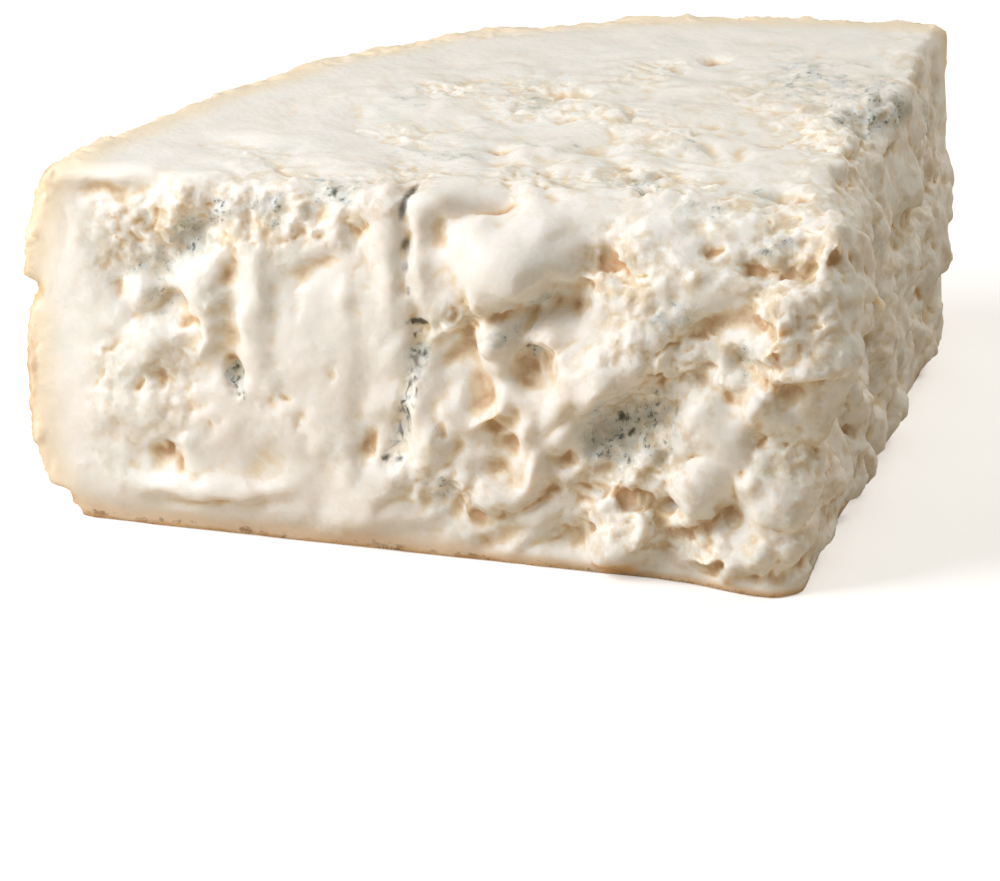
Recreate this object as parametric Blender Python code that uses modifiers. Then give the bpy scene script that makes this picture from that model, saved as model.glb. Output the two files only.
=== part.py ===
"""A wedge of soft blue cheese: a quarter of half a wheel, standing on the wheel's flat rind.

The wheel was cut across at half its height and then twice from the middle outwards, so the wedge
has a creamy top cut, two craggy upright cuts that meet at the tip, and rind on the curved back
and underneath. It is one solid. Metres, +Z up. The origin is on the base, on the wedge's middle
line, and +Y runs from the tip to the rind.
"""

import itertools
import math

import bmesh
import bpy
import numpy as np

MM = 0.001

# Driving dimensions
WHEEL_RADIUS = 0.151
WEDGE_HEIGHT = 0.0730
WEDGE_ANGLE = math.radians(87.0)
TIP_TO_ORIGIN = 0.078

# Form of the rind and of the slumped paste; the rim's wave starts and repeats at these turns from
# the left cut, in degrees
RIM_BULGE = 0.0070
BULGE_SQUARENESS = 4.2
TOP_EDGE_ROUND = 0.0030
FOOT_ROUND = 0.0120
FOOT_INSET = 0.0050
RIM_WAVE = 0.0036
RIM_WAVE_START = 33.0
RIM_WAVE_TURN = 70.0
CUT_SAG = 0.0024
BASE_UNDERCUT = 0.0012
TIP_ROUND = 0.0090
TORN_HANG = 0.3
TIP_LEAN = 0.0065
TIP_FLOW = 0.0038
EDGE_ROUND_AT_RIND = 0.0035
EDGE_ROUND_AT_TIP = 0.0150

# Crags of the torn paste: the size of a lump, of a knob on it and of a swell, and their heights in
# millimetres where the paste is torn most. A narrower crease is a sharper one. On the left cut the
# crags run up towards the tip, by this much for each metre along, and are longer that way
LUMP_SIZE = 0.0150
KNOB_SIZE = 0.0078
SWELL_SIZE = 0.0220
LUMP_HEIGHT = 5.5
KNOB_HEIGHT = 3.2
SWELL_HEIGHT = 2.0
CREASE_WIDTH = 0.12
CRAG_SLANT = 0.45
CRAG_LENGTH = 1.10
# Where the paste is torn: it is smooth beside the rind and in this share of the base's smooth band,
# calmer on the top, and less craggy away from the tip, except on the right cut
SMOOTH_BESIDE_RIND = 0.0070
SMOOTH_ABOVE_BASE = 0.12
CRAGS_FULL_WITHIN = 0.0550
CRAGS_CALM_BEYOND = 0.0900
CRAGS_AT_RIND = 0.38
TOP_CALM = 0.48

# Unevenness of the rind, in millimetres
RIND_SWELL = 0.9
RIND_PUCKER = 0.6

# Mesh
RIM_POINTS = 22
TURN_STEPS = 30
VOXEL = 0.0014
SMOOTH_STEPS = 4
SOLID_TRIANGLES = 10600
FLAT_BELOW = 0.0007

LEFT_DIRECTION = math.pi / 2 + WEDGE_ANGLE / 2
RIGHT_DIRECTION = math.pi / 2 - WEDGE_ANGLE / 2
TIP = np.array([0.0, -TIP_TO_ORIGIN, 0.0])
ALONG_LEFT = np.array([math.cos(LEFT_DIRECTION), math.sin(LEFT_DIRECTION), 0.0])
ALONG_RIGHT = np.array([math.cos(RIGHT_DIRECTION), math.sin(RIGHT_DIRECTION), 0.0])
OUT_OF_LEFT = np.array([-ALONG_LEFT[1], ALONG_LEFT[0], 0.0])
OUT_OF_RIGHT = np.array([ALONG_RIGHT[1], -ALONG_RIGHT[0], 0.0])
TIP_FLOW_DIRECTION = np.array([-0.48, -0.87, 0.0])

# The left cut is measured from the rind, which is this far from the tip in millimetres
TIP_FROM_RIND = 150.0

# Features of the cuts, in millimetres: place along the cut, place up it, half length, half
# height, tilt in degrees, and rise out of the cut. A negative rise is a hollow.
# On the left cut the first place is the distance from the rind, the second the height.
LEFT_FEATURES = (
    (92, 61, 9, 8.5, 0, 6.4),
    (79, 58, 3.5, 7, 0, -1.0),
    (99.5, 53.5, 8, 4.4, 24, -7.6),
    (80.5, 69, 7, 3.2, 52, -2.4),
    (89, 74, 5, 2.4, 10, -3.8),
    (20, 54, 10, 9, 38, -3.8),
    (28.5, 60.5, 6, 4, 48, -3.6),
    (29.5, 50.5, 4.4, 5.5, 0, 4.0),
    (18, 48.5, 3.2, 3, 0, 2.6),
    (31, 41, 3.4, 4.5, 0, 2.2),
    (37, 55, 3.2, 6, -8, -1.2),
    (41, 49, 3.0, 12, 0, 1.6),
    (23, 46, 6, 3, 8, -2.6),
    (36.5, 33.5, 2.0, 2.8, 0, -3.4),
    (23, 17, 3.4, 4.4, -20, -1.8),
    (30, 10, 17, 2.6, 4, 2.2),
    (41.5, 63, 2.4, 2.8, 0, -1.2),
    (56, 70.5, 4.5, 3.2, 8, -1.6),
    (68.3, 62, 2.8, 13, 6, 1.4),
    (63, 26, 2.4, 10, 4, -1.0),
    (52, 56, 7, 2.6, 34, -0.8),
    (84, 40, 6, 6.5, 0, -2.8),
    (90, 43, 3.4, 5, 0, 2.8),
    (97.5, 41, 3.4, 4.6, 8, -3.4),
    (91, 33, 8, 2.4, 38, 2.8),
    (94, 24.5, 5, 3, 34, -2.6),
    (75.5, 29, 3, 5.4, 0, 2.6),
    (101, 20.5, 3.4, 3, 0, 2.6),
    (113, 44, 11, 4.5, 38, 2.9),
    (118, 28, 11, 9, 20, -3.6),
    (110, 29, 13, 2.8, 43, -3.4),
    (104, 7, 7, 3.4, 28, -3.6),
    (135, 45.5, 3.6, 3, 0, -4.1),
    (140, 64, 10, 3.2, 3, -2.8),
    (141, 38.5, 4, 4.6, 16, 3.5),
    (144, 31, 5, 2.2, 28, -3.4),
    (134, 15, 3.8, 3.6, 0, -3.6),
    (124, 15, 3, 2.4, 0, -2.9),
    (140, 8.5, 7, 2.8, 26, 2.3),
    (12, 68.5, 8, 2.2, 10, -1.9),
    (129.5, 18, 3.4, 4.2, 0, 3.2),
    (137, 50, 3.4, 3, 0, 2.4),
    (146, 47, 4, 5, 0, 2.6),
    (134, 7.5, 5, 1.8, 25, 2.2),
    (81.5, 30, 3, 3.4, 0, 2.2),
    (88, 46.5, 3, 3, 0, 2.2),
    (143.5, 56, 2.2, 2.4, 0, -3.0),
)
# On the right cut the first place is the distance from the tip, the second the height.
RIGHT_FEATURES = (
    (33, 48, 6, 5, -14, -4.0),
    (31, 33.5, 4, 4, 0, -3.0),
    (59, 31, 6, 3.6, -10, -3.6),
    (65, 17.5, 8, 6, -8, -5.2),
    (85, 43, 6, 4, -10, -3.8),
    (113, 43, 6, 3, 0, -3.2),
    (78, 71, 8, 3.4, 0, -4.6),
    (94, 69, 3, 3, 0, -3.4),
    (127, 15, 7, 4, 0, -1.6),
    (54, 54, 6, 4, -10, -3.4),
    (100, 27, 5, 6, 0, -2.8),
    (12, 30, 4, 9, 0, -2.6),
    (44, 61, 7, 5, 0, 2.2),
    (47, 41, 5, 8, 10, 2.6),
    (76, 30, 6, 7, 0, 2.4),
    (84, 6, 11, 5, 0, 1.6),
    (103, 7, 6, 6, 0, -2.2),
    (64, 7, 5, 6, 0, -2.2),
    (137, 11, 8, 9, 0, 1.6),
    (22, 16, 6, 8, 0, 2.4),
    (108, 60, 9, 5, 0, 2.0),
    (133, 32, 10, 10, 0, 1.8),
    (6, 42, 2.6, 14, 0, 1.6),
    (22, 50, 2.6, 9, 8, 1.8),
    (42, 20, 4, 8, 0, 2.2),
    (96, 54, 6, 4, 10, 2.0),
)
# On the top cut the first place is the distance from the tip along the left edge, the second
# the distance inwards from that edge.
TOP_FEATURES = (
    (71, 34, 3, 3, 0, -2.0),
    (62, 5, 6, 5, 20, -3.0),
    (14, 22, 2.6, 3, 0, -3.0),
    (35, 17, 2.2, 2.4, 0, -2.3),
    (47, 107, 2.2, 3, 0, -2.0),
    (69, 74, 4, 4, 0, -1.6),
    (36, 40, 9, 5, 30, -1.5),
    (22, 62, 9, 7, 0, -1.6),
    (85, 45, 6, 5, 0, -1.4),
    (56, 60, 14, 7, 10, 1.4),
    (100, 70, 16, 12, 20, 1.1),
    (45, 85, 12, 7, 0, 1.2),
    (124, 24, 7, 4, 0, -1.1),
)
# Places of the left cut that were smeared smooth, with how calm they are in place of the rise
CALM_PLACES = (
    (92, 61, 12, 10, 0, 1.0),
    (55, 42, 13, 24, 0, 0.95),
    (68, 58, 3.6, 15, 6, 1.0),
    (7, 42, 8, 28, 0, 1.0),
    (28, 52, 4.5, 8, -8, 0.8),
    (41, 48, 3, 12, 0, 0.8),
    (30, 9, 30, 7, 4, 0.9),
    (84, 41, 5, 6, 0, 0.7),
    (92, 38, 5, 8, 10, 0.6),
    (110, 52, 9, 4, 12, 0.6),
    (134, 29, 6, 6, 0, 0.7),
    (144, 15, 5, 8, 0, 0.7),
)
# The needle channel that the left cut opened: its middle line, as distance from the rind and
# height, in millimetres.
NEEDLE_ROUTE = (
    (71, 77), (71.4, 66), (72.6, 55), (74.4, 48), (74.4, 41), (72.4, 32), (68.8, 19.5)
)
NEEDLE_HALF_WIDTH = 1.7
NEEDLE_DEPTH = 0.9

# Creases and swells of the rind: turn from the left cut in degrees, height in millimetres, half
# turn, half height, tilt and rise.
RIND_FEATURES = (
    (-1, 46, 9, 2.6, 0, -3.0),
    (2, 4.5, 8, 1.6, 0, -1.6),
    (15, 30, 9, 3.0, 8, -1.4),
    (27, 57, 8, 3.0, -6, -1.2),
    (33, 20, 6, 6.0, 0, 1.3),
    (46, 44, 10, 2.6, 4, -1.6),
    (58, 17, 9, 3.0, -8, -1.2),
    (66, 52, 7, 7.0, 0, 1.2),
    (78, 36, 9, 2.8, 6, -1.5),
)

# Noise: the count of its directions, the numbers that stir its keys, the gain that brings it up to
# about 1, and the middle of what puffs makes of it
NOISE_TABLE = 4096
AXIS_KEYS = (73856093, 19349663, 83492791)
SEED_KEY = 2654435
STIR_KEY = 1274126177
NOISE_GAIN = 1.7
PUFF_MIDDLE = 0.33


def smoothstep(values, low, high):
    """0 below low, 1 above high, and a smooth ramp between them. low may exceed high."""
    ramp = np.clip((values - low) / (high - low), 0.0, 1.0)
    return ramp * ramp * (3 - 2 * ramp)


def unit_vectors():
    """The directions that the noise draws from, evenly spread and seeded: one row for each axis."""
    drawn = np.random.default_rng(7).normal(size=(3, NOISE_TABLE))
    return drawn / np.linalg.norm(drawn, axis=0)


DIRECTIONS = unit_vectors()


def hashed(keys):
    """A repeatable place in DIRECTIONS for each key."""
    stirred = (keys ^ (keys >> 15)) * STIR_KEY
    return (stirred ^ (stirred >> 13)) & (NOISE_TABLE - 1)


def noise(points, cell, seed):
    """Smooth noise from about -1 to 1, with swells about one cell across."""
    scaled = (points / cell).T
    low = np.floor(scaled)
    near = scaled - low
    fade = near**3 * (near * (near * 6 - 15) + 10)
    whole = low.astype(np.int64)
    keys = [[(row + step) * factor for step in (0, 1)] for row, factor in zip(whole, AXIS_KEYS)]
    shares = [(1 - row, row) for row in fade]
    reaches = [(row, row - 1) for row in near]
    total = np.zeros(len(points))
    for i, j, k in itertools.product((0, 1), repeat=3):
        slope = DIRECTIONS[:, hashed(keys[0][i] ^ keys[1][j] ^ keys[2][k] ^ seed * SEED_KEY)]
        climb = reaches[0][i] * slope[0] + reaches[1][j] * slope[1] + reaches[2][k] * slope[2]
        total += shares[0][i] * shares[1][j] * shares[2][k] * climb
    return NOISE_GAIN * total


def puffs(points, cell, seed, crease=CREASE_WIDTH):
    """Puffed lumps with creases between them: from about -0.2 in a crease to 0.6 on a lump."""
    return np.sqrt(noise(points, cell, seed) ** 2 + crease**2) - PUFF_MIDDLE


def warped(points, cell, reach, seed):
    """The points, each moved by up to about reach, so that what is drawn at them looks torn."""
    moves = [noise(points, cell, seed + axis) for axis in range(3)]
    return points + reach * np.stack(moves, axis=1)


def feature_sum(along, up, features):
    """The height in millimetres of all the lumps and hollows at places along and up a cut."""
    total = np.zeros(len(along))
    for middle_along, middle_up, half_along, half_up, tilt, rise in features:
        cosine, sine = math.cos(math.radians(tilt)), math.sin(math.radians(tilt))
        from_along, from_up = along - middle_along, up - middle_up
        first = (cosine * from_along + sine * from_up) / half_along
        second = (cosine * from_up - sine * from_along) / half_up
        total += rise * np.exp(-((first**2 + second**2) ** 1.4))
    return total


def distance_to_route(along, up, route):
    """Distance from each place to a line through the route's points."""
    nearest = np.full(len(along), 1e3)
    for (a_0, u_0), (a_1, u_1) in itertools.pairwise(route):
        run, rise = a_1 - a_0, u_1 - u_0
        share = ((along - a_0) * run + (up - u_0) * rise) / (run * run + rise * rise)
        share = np.clip(share, 0.0, 1.0)
        gap = np.hypot(along - a_0 - share * run, up - u_0 - share * rise)
        nearest = np.minimum(nearest, gap)
    return nearest


def rim_radius(height):
    """Radius of the wheel's back at a height: it bulges, and is rounded above and below."""
    share = height / WEDGE_HEIGHT
    bulge = RIM_BULGE * (1 - abs(2 * share - 1) ** BULGE_SQUARENESS)
    foot = max(0.0, 1 - height / FOOT_ROUND)
    above = max(0.0, 1 - (WEDGE_HEIGHT - height) / TOP_EDGE_ROUND)
    inset = FOOT_INSET * (1 - math.sqrt(1 - foot**2)) + 0.6 * TOP_EDGE_ROUND * above**2
    return WHEEL_RADIUS + bulge - inset


def turned_wedge():
    """The plain wedge: the half wheel's outline turned about the tip's edge."""
    mesh = bmesh.new()
    heights = [WEDGE_HEIGHT * (1 + math.cos(math.pi * i / RIM_POINTS)) / 2 for i in range(RIM_POINTS + 1)]
    outline = [(0.0, 0.0), (0.0, WEDGE_HEIGHT)] + [(rim_radius(z), z) for z in heights]
    corners = [mesh.verts.new(r * ALONG_RIGHT + TIP + (0, 0, z)) for r, z in outline]
    face = mesh.faces.new(corners)
    bmesh.ops.spin(
        mesh,
        geom=[face, *face.edges, *corners],
        cent=TIP,
        axis=(0, 0, 1),
        angle=WEDGE_ANGLE,
        steps=TURN_STEPS,
    )
    bmesh.ops.remove_doubles(mesh, verts=mesh.verts, dist=0.0001)
    bmesh.ops.recalc_face_normals(mesh, faces=mesh.faces)
    data = bpy.data.meshes.new("wedge")
    mesh.to_mesh(data)
    mesh.free()
    return data


def evaluated_copy(obj):
    """The object's mesh with its modifiers applied."""
    graph = bpy.context.evaluated_depsgraph_get()
    return bpy.data.meshes.new_from_object(obj.evaluated_get(graph))


def evenly_meshed(data):
    """The same shape with even quads and softly rounded edges."""
    obj = bpy.data.objects.new("even", data)
    bpy.context.scene.collection.objects.link(obj)
    remesh = obj.modifiers.new("even quads", "REMESH")
    remesh.mode = "VOXEL"
    remesh.voxel_size = VOXEL
    soften = obj.modifiers.new("soft edges", "SMOOTH")
    soften.factor = 0.5
    soften.iterations = SMOOTH_STEPS
    even = evaluated_copy(obj)
    bpy.data.objects.remove(obj)
    return even


def read_points(data):
    """A mesh's vertices and their normals, as arrays."""
    points = np.empty(len(data.vertices) * 3)
    normals = np.empty(len(data.vertices) * 3)
    data.vertices.foreach_get("co", points)
    data.vertices.foreach_get("normal", normals)
    return points.reshape(-1, 3), normals.reshape(-1, 3)


def places(points):
    """Where each point lies in the wedge, in metres: its depth under each face and so on."""
    local = points - TIP
    radius = np.hypot(local[:, 0], local[:, 1])
    turn = LEFT_DIRECTION - np.arctan2(local[:, 1], local[:, 0])
    rim = np.interp(
        points[:, 2],
        np.linspace(0, WEDGE_HEIGHT, 40),
        [rim_radius(z) for z in np.linspace(0, WEDGE_HEIGHT, 40)],
    )
    return {
        "turn": turn,
        "radius": radius,
        "height": points[:, 2],
        "under_rim": rim - radius,
        "under_top": WEDGE_HEIGHT - points[:, 2],
        "under_left": -local @ OUT_OF_LEFT,
        "under_right": -local @ OUT_OF_RIGHT,
        "along_left": local @ ALONG_LEFT,
        "along_right": local @ ALONG_RIGHT,
    }


def crag_strength(place, points):
    """How craggy the paste is at each point, from 0 at the rind to 1 near the tip."""
    wander = 0.004 * noise(points, 0.014, 21)
    from_rim = smoothstep(place["under_rim"] + wander, SMOOTH_BESIDE_RIND, 0.020)
    near_tip = smoothstep(place["radius"] + wander, CRAGS_CALM_BEYOND, CRAGS_FULL_WITHIN)
    full_above = 0.008 - 0.004 * near_tip
    from_base = smoothstep((place["height"] + wander / 4) / full_above, SMOOTH_ABOVE_BASE, 1.0)
    near_tip = np.maximum(near_tip, 0.42 * smoothstep(place["under_right"], 0.012, 0.005))
    from_rim_on_left = TIP_FROM_RIND - place["along_left"] / MM
    calm = np.clip(feature_sum(from_rim_on_left, place["height"] / MM, CALM_PLACES), 0.0, 1.0)
    calm = calm * smoothstep(place["under_left"], 0.012, 0.005)
    on_top = smoothstep(place["under_top"], 0.012, 0.004)
    on_top = on_top * smoothstep(np.minimum(place["under_left"], place["under_right"]), 0.001, 0.009)
    strength = from_rim * from_base * (CRAGS_AT_RIND + (1 - CRAGS_AT_RIND) * near_tip)
    return strength * (1 - 0.9 * calm) * (1 - TOP_CALM * on_top)


def aslant(place):
    """Places drawn out along the slant of the left cut's crags."""
    along = place["under_right"]
    risen = place["height"] + CRAG_SLANT * along
    return np.stack([-along / CRAG_LENGTH, risen, place["under_left"]], axis=1)


def crags(place, strength):
    """Height of the torn lumps and creases, in millimetres."""
    torn = warped(aslant(place), 0.011, 0.0045, 31)
    lumps = LUMP_HEIGHT * puffs(torn, LUMP_SIZE, 3)
    knobs = KNOB_HEIGHT * puffs(torn, KNOB_SIZE, 41)
    swells = SWELL_HEIGHT * (noise(torn, SWELL_SIZE, 51) + noise(torn, LUMP_SIZE, 53))
    return strength * (lumps + knobs + swells)


def relief(points, place):
    """How far each point of the plain wedge moves along its normal, in metres."""
    paste = smoothstep(place["under_rim"], 0.000, 0.006)
    torn = warped(warped(points, 0.007, 0.0013, 61), 0.0028, 0.0006, 71)
    at = places(torn)
    on_left = smoothstep(place["under_left"], 0.010, 0.003)
    on_right = smoothstep(place["under_right"], 0.010, 0.003)
    on_top = smoothstep(place["under_top"], 0.010, 0.003)
    from_rim = TIP_FROM_RIND - at["along_left"] / MM
    left = feature_sum(from_rim, at["height"] / MM, LEFT_FEATURES)
    route = distance_to_route(from_rim, at["height"] / MM, NEEDLE_ROUTE)
    left -= NEEDLE_DEPTH * np.exp(-((route / NEEDLE_HALF_WIDTH) ** 4))
    right = feature_sum(at["along_right"] / MM, at["height"] / MM, RIGHT_FEATURES)
    top = feature_sum(at["along_left"] / MM, at["under_left"] / MM, TOP_FEATURES)
    shaped = on_left * left + on_right * right + on_top * top
    torn_part = crags(place, crag_strength(place, points))
    return MM * paste * (shaped + torn_part)


def round_corner(points, into_first, into_second, depth_first, depth_second, radius):
    """Rolls the square corner between two faces onto an arc of the given radius."""
    first = depth_first - radius
    second = depth_second - radius
    reach = np.hypot(first, second)
    inside = (first < 0) & (second < 0) & (reach > radius)
    shrink = np.where(inside, 1 - radius / np.maximum(reach, 1e-6), 0.0)[:, None]
    return points - shrink * (first[:, None] * into_first + second[:, None] * into_second)


def rounded(points):
    """The plain wedge's points with its tip and the two edges of the top cut worn round."""
    down = np.array([0.0, 0.0, -1.0])
    place = places(points)
    points = round_corner(
        points, -OUT_OF_LEFT, -OUT_OF_RIGHT, place["under_left"], place["under_right"], TIP_ROUND
    )
    place = places(points)
    radius = EDGE_ROUND_AT_RIND + (EDGE_ROUND_AT_TIP - EDGE_ROUND_AT_RIND) * smoothstep(
        place["along_left"], 0.080, 0.045
    )
    points = round_corner(points, -OUT_OF_LEFT, down, place["under_left"], place["under_top"], radius)
    place = places(points)
    radius = EDGE_ROUND_AT_RIND + 0.4 * (EDGE_ROUND_AT_TIP - EDGE_ROUND_AT_RIND) * smoothstep(
        place["along_right"], 0.100, 0.030
    )
    return round_corner(points, -OUT_OF_RIGHT, down, place["under_right"], place["under_top"], radius)


def rim_wave(turn):
    """How far the wheel's back stands out beyond a true round at a turn from the left cut."""
    return RIM_WAVE * np.sin(2 * math.pi * (np.degrees(turn) - RIM_WAVE_START) / RIM_WAVE_TURN)


def slump(points, place):
    """The soft paste's sag: cuts that belly out, and draw in again above the base's rind."""
    share = np.clip(place["height"] / WEDGE_HEIGHT, 0.0, 1.0)
    belly = CUT_SAG * np.sin(math.pi * share**0.8)
    undercut = BASE_UNDERCUT * smoothstep(place["height"], 0.007, 0.001)
    on_left = smoothstep(place["under_left"], 0.006, 0.001)[:, None]
    on_right = smoothstep(place["under_right"], 0.006, 0.001)[:, None]
    inner = smoothstep(place["under_rim"], 0.0, 0.020)
    push = (belly * inner - undercut)[:, None]
    moved = push * (on_left * OUT_OF_LEFT + on_right * OUT_OF_RIGHT)
    lean = TIP_LEAN * smoothstep(place["height"], 0.025, 0.062)
    lean = lean * smoothstep(place["along_right"], 0.060, 0.010)
    lean = lean * smoothstep(place["under_right"], 0.040, 0.005)
    flow = TIP_FLOW * smoothstep(place["height"], 0.014, 0.002) * smoothstep(place["radius"], 0.026, 0.008)
    moved += lean[:, None] * OUT_OF_RIGHT + flow[:, None] * TIP_FLOW_DIRECTION
    wave = rim_wave(place["turn"]) * (place["radius"] / WHEEL_RADIUS) ** 4
    local = points - TIP
    outward = local * (1, 1, 0) / np.maximum(place["radius"], 0.001)[:, None]
    return moved + wave[:, None] * outward


def rind_roughness(points, place):
    """How far the rind's folds and puckers move each point along its normal, in metres."""
    on_rind = smoothstep(place["under_rim"], 0.005, 0.001)
    folds = feature_sum(np.degrees(place["turn"]), place["height"] / MM, RIND_FEATURES)
    skin = RIND_SWELL * noise(points, 0.016, 81) + RIND_PUCKER * noise(points, 0.007, 91)
    return on_rind * MM * (folds + skin)


def carve(data):
    """Moves the plain wedge's vertices to the cheese's real surface."""
    points, _ = read_points(data)
    data.vertices.foreach_set("co", rounded(points).ravel())
    data.update()
    points, normals = read_points(data)
    place = places(points)
    above_base = smoothstep(points[:, 2], 0.0002, 0.0025)
    rise = (relief(points, place) + rind_roughness(points, place)) * above_base
    # Torn paste hangs a little below the place that it was torn from.
    hang = np.outer(np.maximum(rise, 0) * TORN_HANG * above_base, (0, 0, -1))
    moved = points + slump(points, place) + normals * rise[:, None] + hang
    moved[points[:, 2] < FLAT_BELOW, 2] = 0.0
    data.vertices.foreach_set("co", moved.ravel())
    data.update()


def thinned(data):
    """The carved mesh with fewer triangles, most of them kept on the cuts, and a flat base."""
    obj = bpy.data.objects.new("thinned", data)
    bpy.context.scene.collection.objects.link(obj)
    decimate = obj.modifiers.new("fewer triangles", "DECIMATE")
    decimate.ratio = SOLID_TRIANGLES / (2 * len(data.polygons))
    decimate.use_collapse_triangulate = True
    thin = evaluated_copy(obj)
    bpy.data.objects.remove(obj)
    points, _ = read_points(thin)
    points[points[:, 2] < FLAT_BELOW, 2] = 0.0
    thin.vertices.foreach_set("co", points.ravel())
    thin.update()
    return thin


def paste_material():
    """Cream-coloured paste, a little moist."""
    material = bpy.data.materials.new("blue_cheese_paste")
    material.use_nodes = True
    shader = material.node_tree.nodes["Principled BSDF"]
    shader.inputs["Base Color"].default_value = (0.86, 0.79, 0.64, 1)
    shader.inputs["Roughness"].default_value = 0.45
    shader.inputs["Metallic"].default_value = 0.0
    return material


def main():
    for obj in list(bpy.data.objects):
        bpy.data.objects.remove(obj)
    collection = bpy.data.collections.new("gorgonzola_wedge")
    bpy.context.scene.collection.children.link(collection)
    even = evenly_meshed(turned_wedge())
    carve(even)
    wedge = bpy.data.objects.new("cheese_wedge", thinned(even))
    wedge.data.shade_smooth()
    wedge.data.materials.clear()
    wedge.data.materials.append(paste_material())
    collection.objects.link(wedge)


main()
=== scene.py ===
"""The looks of a wedge of soft blue cheese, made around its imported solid.

The wedge's solid is replaced by a finer mesh of the same form: the same turned wedge, worn edges,
lumps and hollows as in the solid, then finer crags, crumbs, smears and the skin of the rind. Each
vertex carries how hollow, mouldy, torn or rind-like its place is, and the material reads that.
Metres, +Z up, in the solid's own frame.
"""

import itertools
import math

import bmesh
import bpy
import numpy as np
from mathutils import Matrix, Vector


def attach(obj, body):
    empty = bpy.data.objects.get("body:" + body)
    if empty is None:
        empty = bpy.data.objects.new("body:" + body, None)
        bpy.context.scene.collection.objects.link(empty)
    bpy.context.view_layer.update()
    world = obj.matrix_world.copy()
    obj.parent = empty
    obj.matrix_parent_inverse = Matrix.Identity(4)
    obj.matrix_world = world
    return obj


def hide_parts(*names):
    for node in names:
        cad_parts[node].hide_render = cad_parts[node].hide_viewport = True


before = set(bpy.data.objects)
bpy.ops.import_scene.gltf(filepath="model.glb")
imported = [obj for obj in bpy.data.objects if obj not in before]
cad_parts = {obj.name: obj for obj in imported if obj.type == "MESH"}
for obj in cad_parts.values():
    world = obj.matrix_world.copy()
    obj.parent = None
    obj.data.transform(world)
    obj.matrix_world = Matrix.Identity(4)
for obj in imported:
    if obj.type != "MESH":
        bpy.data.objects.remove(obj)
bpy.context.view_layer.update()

MM = 0.001

# Driving dimensions
WHEEL_RADIUS = 0.151
WEDGE_HEIGHT = 0.0730
WEDGE_ANGLE = math.radians(87.0)
TIP_TO_ORIGIN = 0.078

# Form of the rind and of the slumped paste; the rim's wave starts and repeats at these turns from
# the left cut, in degrees
RIM_BULGE = 0.0070
BULGE_SQUARENESS = 4.2
TOP_EDGE_ROUND = 0.0030
FOOT_ROUND = 0.0120
FOOT_INSET = 0.0050
RIM_WAVE = 0.0036
RIM_WAVE_START = 33.0
RIM_WAVE_TURN = 70.0
CUT_SAG = 0.0024
BASE_UNDERCUT = 0.0012
TIP_ROUND = 0.0090
TORN_HANG = 0.3
TIP_LEAN = 0.0065
TIP_FLOW = 0.0038
EDGE_ROUND_AT_RIND = 0.0035
EDGE_ROUND_AT_TIP = 0.0150

# Crags of the torn paste: the size of a lump, of a knob on it and of a swell, and their heights in
# millimetres where the paste is torn most. A narrower crease is a sharper one. On the left cut the
# crags run up towards the tip, by this much for each metre along, and are longer that way
LUMP_SIZE = 0.0150
KNOB_SIZE = 0.0078
SWELL_SIZE = 0.0220
LUMP_HEIGHT = 5.5
KNOB_HEIGHT = 3.2
SWELL_HEIGHT = 2.0
CREASE_WIDTH = 0.12
CRAG_SLANT = 0.45
CRAG_LENGTH = 1.10
# Where the paste is torn: it is smooth beside the rind and in this share of the base's smooth band,
# calmer on the top, and less craggy away from the tip, except on the right cut
SMOOTH_BESIDE_RIND = 0.0070
SMOOTH_ABOVE_BASE = 0.12
CRAGS_FULL_WITHIN = 0.0550
CRAGS_CALM_BEYOND = 0.0900
CRAGS_AT_RIND = 0.38
TOP_CALM = 0.48

# Unevenness of the rind, in millimetres
RIND_SWELL = 0.9
RIND_PUCKER = 0.6

# Mesh
RIM_POINTS = 22
RIM_SAMPLES = 40
TURN_STEPS = 30
COARSE_VOXEL = 0.0010
COARSE_SMOOTH = 4
FINE_VOXEL = 0.00056
FINE_SMOOTH = 1
MOST_TRIANGLES = 195000
FLAT_BELOW = 0.0007

LEFT_DIRECTION = math.pi / 2 + WEDGE_ANGLE / 2
RIGHT_DIRECTION = math.pi / 2 - WEDGE_ANGLE / 2
TIP = np.array([0.0, -TIP_TO_ORIGIN, 0.0])
ALONG_LEFT = np.array([math.cos(LEFT_DIRECTION), math.sin(LEFT_DIRECTION), 0.0])
ALONG_RIGHT = np.array([math.cos(RIGHT_DIRECTION), math.sin(RIGHT_DIRECTION), 0.0])
OUT_OF_LEFT = np.array([-ALONG_LEFT[1], ALONG_LEFT[0], 0.0])
OUT_OF_RIGHT = np.array([ALONG_RIGHT[1], -ALONG_RIGHT[0], 0.0])
TIP_FLOW_DIRECTION = np.array([-0.48, -0.87, 0.0])

# The left cut is measured from the rind, which is this far from the tip in millimetres
TIP_FROM_RIND = 150.0

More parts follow.
